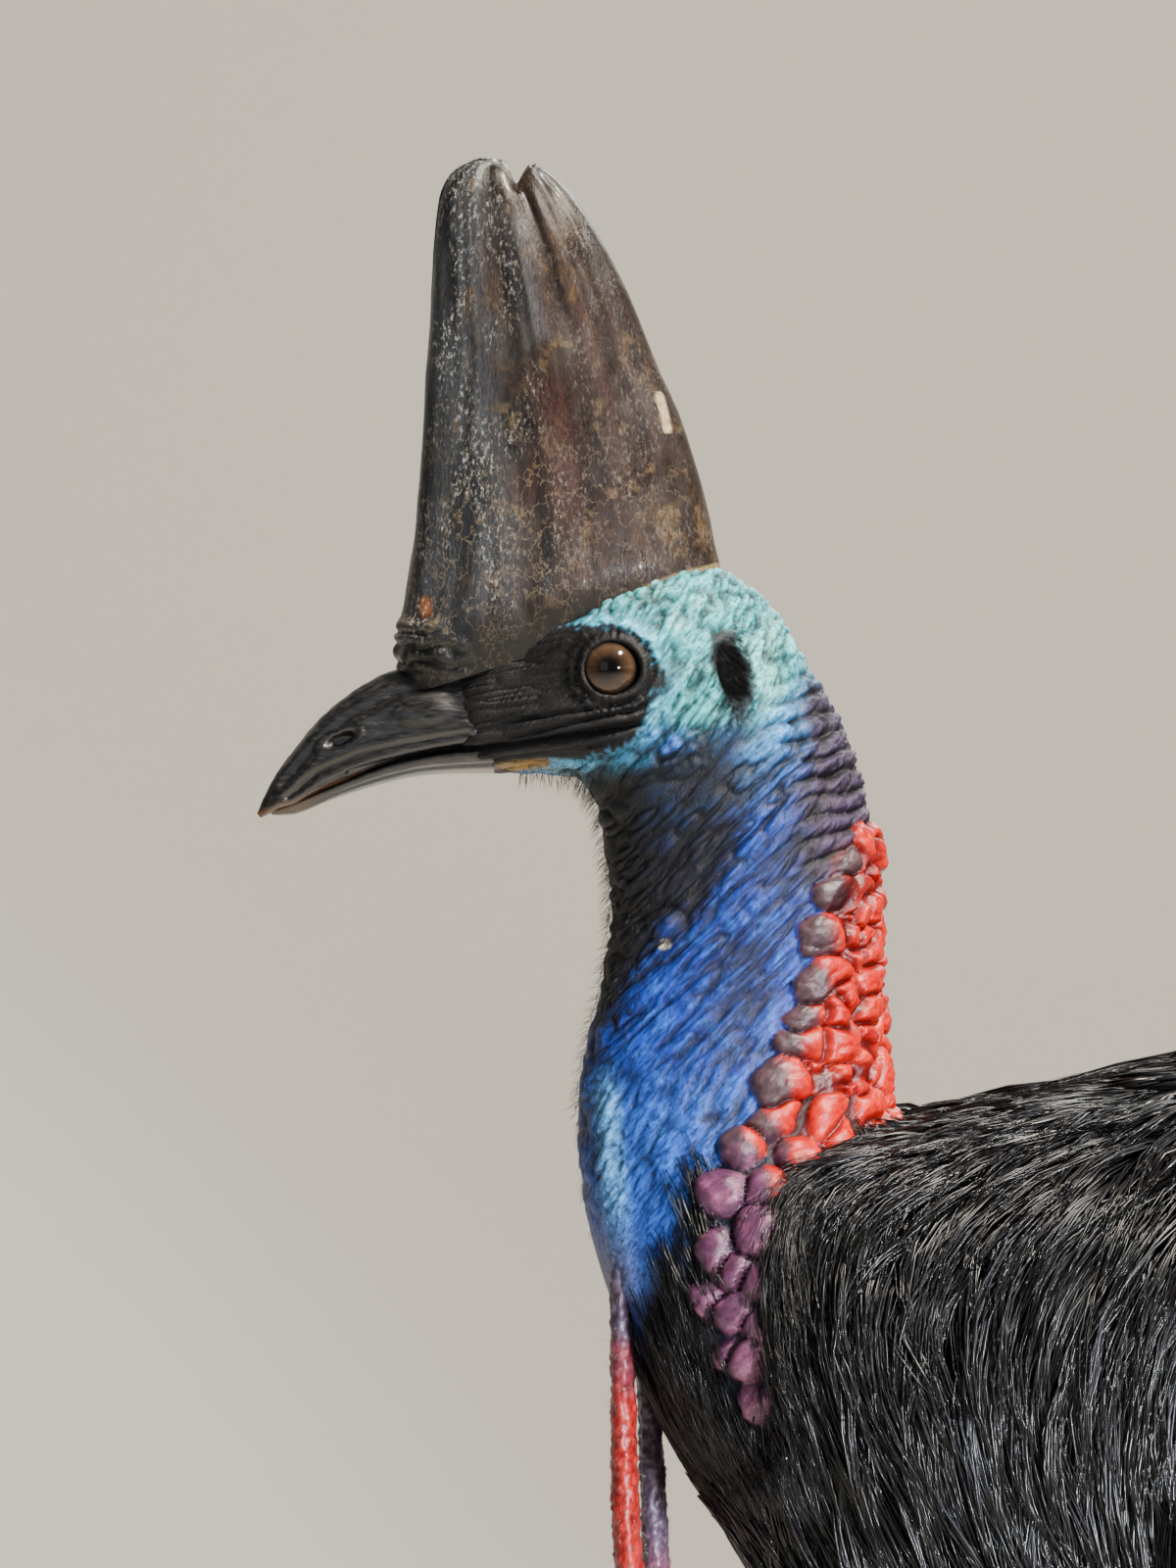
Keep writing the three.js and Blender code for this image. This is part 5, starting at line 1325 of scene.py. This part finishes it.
def patch_weight(p, t, a):
    """Weight of a place for the sparse hairs on the front of the neck: uneven, inside their outline."""
    return inside(p[..., 0], p[..., 2], NECK_HAIR, 12) * (0.25 + noise(p, 9, 120)) ** 2


def edge_weight(p, t, a):
    """Weight of a place for short feathers along the edge of the bare skin, highest on the edge itself."""
    m = inside(p[..., 0], p[..., 2], COAT_EDGE, 9)
    return m * (1 - m) * smooth(p[..., 0], -258, -266) * smooth(p[..., 2], 905, 930)


# Rings of a thigh: place behind the foot, height above the floor, and half sizes along and across.
THIGH = np.array([
    [-26, 800, 88, 36], [-12, 705, 104, 60], [8, 600, 92, 64], [34, 500, 64, 50], [55, 405, 32, 29],
], float)
THIGH_END = 4.0

# Each foot's place along the body, for the left and the right side, and its distance from the middle.
FOOT_AT = {-1: 104.0, 1: 132.0}
FOOT_OUT = 96


def thigh_surface(s):
    """Points of a thigh at ring t, turn a and depth: ellipses at even heights, 9 mm larger where the feathers
    end."""
    def place(t, a, depth):
        cx, z, hx, hy = (column(THIGH, k, np.minimum(t, THIGH_END)) for k in range(4))
        grow = 9.0 * np.asarray(depth)
        z = z - 95 * np.maximum(0, t - THIGH_END)
        x = FOOT_AT[s] + cx + (hx + grow) * np.cos(a)
        return np.stack([x, s * FOOT_OUT + (hy + grow) * np.sin(a), z], -1)
    return place


def hanging(p, a):
    """Feathers of the thigh hang down and a little back."""
    zero = np.zeros_like(p[..., 0])
    return unit(np.stack([zero + 0.12, zero, zero - 1], -1))


def evenly(p, t, a):
    """The same weight everywhere."""
    return np.ones(len(t))


def thigh_length(p, t):
    """Length of a thigh's feathers: down to the hock, within limits."""
    return np.clip(p[..., 2] - 398 + rng.normal(0, 12, len(t)), 24, 115)


def thigh(side, s):
    """A bare thigh inside its feathers, and the feathers."""
    surface = thigh_surface(s)
    turns = np.linspace(0, 2 * math.pi, 30, endpoint=False)
    t, a = np.meshgrid(np.linspace(0, THIGH_END, 30), turns, indexing="ij")
    dark = np.broadcast_to(linear("0d0d10"), t.shape + (3,))
    bare = tube("thigh_skin_" + side, surface(t, a, np.full(t.shape, -0.3)), SKIN_LOOK, "plumage", tint=dark)
    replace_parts(bare, "thigh_" + side)
    bed = Bed(surface, hanging, 0.3, 3.85, THIGH_END, 23.5 if s < 0 else 26.5)
    tufts("thigh_feathers_" + side, bed, 260, 7, evenly, 11.0, 2.5, 4, thigh_length)


TRUNK = Bed(coat_place, lie, 11.0, 21.9, len(SKIN) - 1.15, 0.0)
tufts("coat_near", TRUNK, 2600, 8, fine_weight, 4.8, 0.64, 6, coat_length, rise=edge_rise)
tufts("coat_front", TRUNK, 1500, 3, patch_weight, 3.0, 0.24, 4, lambda p, t: 36 + 0 * t,
      rise=lambda p: 0.35, pale=0.0)
tufts("coat_edge", TRUNK, 700, 2, edge_weight, 4.0, 0.24, 5, lambda p, t: 42 + 0 * t, pale=0.2)
tufts("coat_trunk", TRUNK, 1950, 8, rest_weight, 15.0, 2.7, 5, coat_length, rise=edge_rise)
for side, s in SIDES:
    thigh(side, s)
# Legs, feet and claws.

def leg_look():
    """Scaled skin of the leg: the colour stored at its points with fine wear."""
    look = Look("leg_scales", 0.5)
    wear = look.ramp(look.texture(5, 5), (0.3, 0.7), (0.7, 1.2))
    look.give("Base Color", look.mix("MULTIPLY", 1.0, look.stored("tint", "Color"), wear))
    look.relief(look.texture(1.5, 3), 0.3)
    return look


def claw_look():
    """Dark horn with paler patches."""
    look = Look("claw_horn", 0.36)
    look.give("Base Color", look.ramp(look.texture(3, 4), (0.3, "0d0b0a"), (0.8, "3a322b")))
    return look


LEG_LOOK = leg_look()
CLAW_LOOK = claw_look()


def scales(p, front, down, period):
    """Height and colour of a leg's scales over points p: plates one above the other where front is near 1,
    pebbles elsewhere. down is the distance along the limb."""
    step = down / period
    plate = 1.7 * (1 - np.abs(2 * (step - np.floor(step)) - 1) ** 5) - 0.5
    pebble = cells(p, 6.5, 17)
    side = smooth(front, 0.25, 0.5)
    h = side * plate + (1 - side) * (0.9 - 1.3 * pebble)
    ridge = np.where(front > 0.37, smooth(plate, 0.2, 1.0), smooth(pebble, 0.75, 0.35))
    paint = Paint(np.broadcast_to(linear("1c1915"), p.shape))
    paint.lay(0.35 + 0.65 * ridge, "4b453b")
    return h, paint.tint * (0.75 + 0.5 * noise(p, 25, 18))[..., None]


def shank(side, s):
    """The leg from inside the thigh's feathers to the foot, thick at the hock and at the foot's root."""
    x, y = FOOT_AT[s], s * FOOT_OUT
    points = [(x + 57, y, 425), (x + 52, y, 330), (x + 36, y, 170), (x + 17, y, 60), (x + 8, y, 22)]

    def radius(u):
        return 17.6 + 9 * np.exp(-((u - 0.1) / 0.1) ** 2) + 7 * np.exp(-((u - 1) / 0.16) ** 2)

    p, u, out = swept(points, 220, 66, lambda u: 1.08 * radius(u), lambda u: 0.94 * radius(u))
    h, tint = scales(p, -out[..., 0], u * 400, 21)
    limb = tube("shank_scales_" + side, p + out * h[..., None], LEG_LOOK, "leg", tint=tint)
    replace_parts(limb, "shank_" + side)


# Each toe's turn away from straight ahead, its length and the length of its claw.
TOES = {"inner": (-0.4, 100, 96), "middle": (0.0, 152, 46), "outer": (0.5, 116, 40)}
UP = np.array([0, 0, 1.0])
SOLE = 0.3


def toe_piece(side, name, start, way, long):
    """A toe with three knuckles, plates on top and a flat sole, which thins towards a round end."""
    def radius(u):
        return (16.2 - 5 * u) * np.sqrt(np.maximum(0.003, 1 - np.clip((u - 0.93) / 0.07, 0, 1) ** 2))

    points = [start + way * long * f + UP * (0.9 * (16.5 - 5 * f) - 0.6) for f in (-0.04, 0.3, 0.65, 1.03)]
    p, u, out = swept(points, 110, 44, radius, radius, side=UP)
    knuckle = 1 + 0.07 * np.cos(u * 2 * math.pi * 3)
    h, tint = scales(p, out[..., 2], u * long, 9.0)
    p = p + out * (radius(u) * (knuckle - 1) + h * 0.8)[..., None]
    p[..., 2] = np.maximum(p[..., 2], SOLE)
    skin = tube(f"toe_scales_{side}_{name}", p, LEG_LOOK, "leg", tint=tint)
    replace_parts(skin, "foot_" + side)


def claw_piece(side, name, start, way, long, claw):
    """A claw on the end of a toe: an arched cone that comes down to the floor."""
    def width(u):
        return 8.0 * np.maximum(1 - u, 0) ** 0.7 + 0.45

    arch = ((0, 10.5), (0.33, 12.0), (0.7, 8.5), (1, 2.6))
    points = [start + way * (long - 5 + (claw + 4) * f) + UP * h for f, h in arch]
    p = swept(points, 50, 28, lambda u: 1.05 * width(u), lambda u: 0.8 * width(u), side=UP)[0]
    p[..., 2] = np.maximum(p[..., 2], SOLE)
    nail = tube(f"claw_horn_{side}_{name}", p, CLAW_LOOK, "claw")
    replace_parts(nail, f"claw_{side}_{name}")


def foot(side, s):
    """Three toes, each with its claw, and a rounded pad under the heel."""
    start = np.array([FOOT_AT[s], s * FOOT_OUT, 0.0])
    for name, (turn_out, long, claw) in TOES.items():
        way = np.array([-math.cos(turn_out), s * math.sin(turn_out), 0.0])
        toe_piece(side, name, start, way, long)
        claw_piece(side, name, start, way, long, claw)
    turns = np.linspace(0, 2 * math.pi, 56, endpoint=False)
    polar, turn = np.meshgrid(np.linspace(0.03, math.pi - 0.03, 40), turns, indexing="ij")
    out = np.stack([np.sin(polar) * np.cos(turn), np.sin(polar) * np.sin(turn), np.cos(polar)], -1)
    p = np.array([FOOT_AT[s] + 12, s * FOOT_OUT, 16.0]) + out * [35, 24, 23]
    h, tint = scales(p, -out[..., 0], p[..., 2], 12)
    p = p + out * h[..., None]
    p[..., 2] = np.maximum(p[..., 2], SOLE)
    pad = tube("heel_scales_" + side, p, LEG_LOOK, "leg", flip=True, tint=tint)
    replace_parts(pad, "foot_" + side)


QUILL_LOOK = plain("quill_horn", (0.006, 0.006, 0.007, 1), 0.5, 0.0, 0.15)


def quills(side, s):
    """The four bare quills of a wing, which curve back and down over the feathers of the flank."""
    def thin(u):
        return 2.8 - 1.6 * u

    f = np.linspace(0, 1, 6)
    for k in range(4):
        spread = (k - 1.5) * (0.16 + 0.4 * f)
        ring = 16.35 + 1.7 * f - 0.9 * spread
        turn = s * (1.75 + 0.42 * f + 0.35 * spread)
        line = ring_point(COAT, ring, turn, np.where(f > 0, 8.0, 2.0))
        quill = tube(f"quill_{side}_{k + 1}", swept(line, 60, 16, thin, thin)[0], QUILL_LOOK, "quill")
        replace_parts(quill, "wing_" + side)


for side, s in SIDES:
    shank(side, s)
    foot(side, s)
    quills(side, s)
# Bristles.

HAIR_LOOK = plain("bristle", "08080a")
PALE_LOOK = plain("pale_bristle", "a08d84")


def bristles(name, root, way, bend, length, half, look=HAIR_LOOK, slot="plumage"):
    """Single hairs from roots along a direction that turns towards another by their tips."""
    s = np.linspace(0, 1, 4)[None, :, None]
    way = unit(way)
    curve = way[:, None] * s + bend[:, None] * 0.5 * s * s
    line = root[:, None] - way[:, None] * 0.8 + curve * length[:, None, None]
    side = unit(np.cross(way, np.array([0.31, 0.2, 0.93])))
    out = np.cross(way, side)
    rings = line.shape[1]
    side, out = (np.repeat(v[:, None], rings, 1) for v in (side, out))
    place = np.repeat([[0.97, 0.5]], len(root), 0) + rng.uniform(-0.02, 0.02, (len(root), 2))
    return blades(name, line, side, out, half, place, rng.random(len(root)), look, slot)


def skin_hairs(name, count, low, high, turn, spread, length, down=0.5):
    """Hairs standing out from the skin between two rings, about a turn on each side."""
    t = rng.uniform(low, high, count)
    a = turn + rng.normal(0, spread, count)
    p, out = ring_point(SKIN, t, a), ring_normal(SKIN, t, a)
    fall = np.array([0.1, 0, -1.0]) * down
    way = out + fall + rng.normal(0, 0.25, (count, 3))
    long = rng.uniform(0.5, 1.2, count) * length
    half = rng.uniform(0.08, 0.15, count)
    bristles(name, p, way, np.broadcast_to(fall, p.shape), long, half)


def ear_hairs(side, s, count=500):
    """Hairs that point back and down over the ear's opening."""
    t, a = side_turn(EAR[0] - 1 + rng.normal(0, 4.0, count), EAR[1] + rng.normal(0, 7.6, count), 2, 7)
    out = ring_normal(SKIN, t, s * a)
    p = ring_point(SKIN, t, s * a) + out * -1.5
    way = out * 0.5 + [0.75, 0, -0.55] + rng.normal(0, 0.25, p.shape)
    long = rng.uniform(4, 8.5, count)
    half = rng.uniform(0.10, 0.18, count)
    fall = np.broadcast_to([0.3, 0, -0.6], p.shape)
    hairs = bristles("ear_bristles_" + side, p, way, fall, long, half, slot="ear")
    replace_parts(hairs[0], "ear_" + side)


def lashes(side, s, count=260):
    """Short hairs that stand out round the eye, except below it."""
    turn = rng.uniform(-0.5, math.pi + 0.9, count)
    far = rng.uniform(12.6, 17.0, count)
    t, a = side_turn(EYE[0] + np.cos(turn) * far, EYE[1] + np.sin(turn) * far, 0, 5)
    p = ring_point(SKIN, t, s * a)
    radial = np.stack([np.cos(turn), 0 * turn, np.sin(turn)], -1)
    way = radial * 0.8 + ring_normal(SKIN, t, s * a) * 0.8 + rng.normal(0, 0.2, p.shape)
    long = rng.uniform(1.5, 3.6, count)
    bristles("lashes_" + side, p, way, radial, long, rng.uniform(0.08, 0.13, count))


def wattle_hairs(side, p, out, count=170):
    """Pale hairs that stand out from a wattle and droop."""
    i, j = rng.integers(20, 145, count), rng.integers(0, p.shape[1], count)
    way = out[i, j] + rng.normal(0, 0.3, (count, 3))
    long = rng.uniform(2.5, 5.5, count)
    half = rng.uniform(0.07, 0.11, count)
    fall = np.broadcast_to([0, 0, -0.8], (count, 3))
    bristles("wattle_bristles_" + side, p[i, j], way, fall, long, half, PALE_LOOK)


skin_hairs("throat_bristles", 900, 1.0, 11.5, math.pi, 0.35, 6.5)
skin_hairs("neck_bristles", 900, 5.5, 13.0, math.pi / 2 + 0.4, 0.9, 3.2, 1.2)
skin_hairs("neck_bristles_right", 600, 5.5, 13.0, -math.pi / 2 - 0.4, 0.9, 3.2, 1.2)
for side, s in SIDES:
    ear_hairs(side, s)
    lashes(side, s)
wattle_hairs("left", *wattle_left)
wattle_hairs("right", *wattle_right)


# Light and stage.

def sheet(name, wide, y, z, look):
    """A sheet of the set: a line in y and z, drawn out to both sides of the middle."""
    x = np.broadcast_to([-wide, wide], (len(y), 2))
    y, z = (np.repeat(np.array(v)[:, None], 2, 1) for v in (y, z))
    verts = np.stack([x, y, z], -1).reshape(-1, 3) * 0.001
    i = np.arange(len(y) - 1) * 2
    mesh = bpy.data.meshes.new(name)
    mesh.from_pydata(verts.tolist(), [], np.stack([i, i + 1, i + 3, i + 2], -1).tolist())
    mesh.polygons.foreach_set("use_smooth", np.ones(len(i), bool))
    mesh.materials.append(look.made)
    piece = bpy.data.objects.new(name, mesh)
    bpy.context.scene.collection.objects.link(piece)


def stage():
    """A pale floor, and a pale wall that curves up behind the bird and can't be seen from its own back."""
    wall = plain("wall", "d9d6cf", 0.85)
    see = wall.nodes.new("ShaderNodeNewGeometry")
    clear = wall.nodes.new("ShaderNodeBsdfTransparent")
    both = wall.nodes.new("ShaderNodeMixShader")
    wall.links.new(see.outputs["Backfacing"], both.inputs["Fac"])
    wall.links.new(wall.shader.outputs["BSDF"], both.inputs[1])
    wall.links.new(clear.outputs["BSDF"], both.inputs[2])
    wall.links.new(both.outputs["Shader"], wall.nodes["Material Output"].inputs["Surface"])
    sheet("floor", 14000.0, [-14000.0, 14000.0], [0.0, 0.0], plain("floor", "d9d6cf", 0.85))
    turn = np.linspace(0, math.pi / 2, 24)
    depth = np.append(3200 + 1200 * np.sin(turn), 4400.0)
    height = np.append(1200.5 - 1200 * np.cos(turn), 6000.0)
    sheet("backdrop", 9000.0, depth, height, wall)


def lamp(name, place, aim, size, power, code, spread=180):
    """A square area light at a place, turned to a point, with its beam's spread in degrees."""
    data = bpy.data.lights.new(name, "AREA")
    data.size = size
    data.spread = math.radians(spread)
    data.energy = power
    data.color = linear(code)
    obj = bpy.data.objects.new(name, data)
    bpy.context.scene.collection.objects.link(obj)
    obj.location = place
    obj.rotation_mode = "QUATERNION"
    obj.rotation_quaternion = (Vector(aim) - Vector(place)).to_track_quat("-Z", "Y")


stage()
lamp("key", (0.95, -1.35, 3.8), (-0.35, 0, 1.15), 0.35, 430, "fff4e4")
lamp("side", (1.3, -3.0, 1.2), (0.0, -0.1, 0.66), 0.5, 20, "f6f8ff", 21)
lamp("fill", (-2.4, -3.2, 1.8), (-0.35, 0, 1.1), 2.2, 10, "e8f0ff")
lamp("rim", (0.6, 2.4, 2.8), (-0.3, 0, 1.1), 1.2, 60, "ffffff")
world = bpy.data.worlds.new("world")
world.use_nodes = True
sky = world.node_tree.nodes["Background"]
sky.inputs["Color"].default_value = (0.8, 0.85, 0.9, 1)
sky.inputs["Strength"].default_value = 0.15
bpy.context.scene.world = world
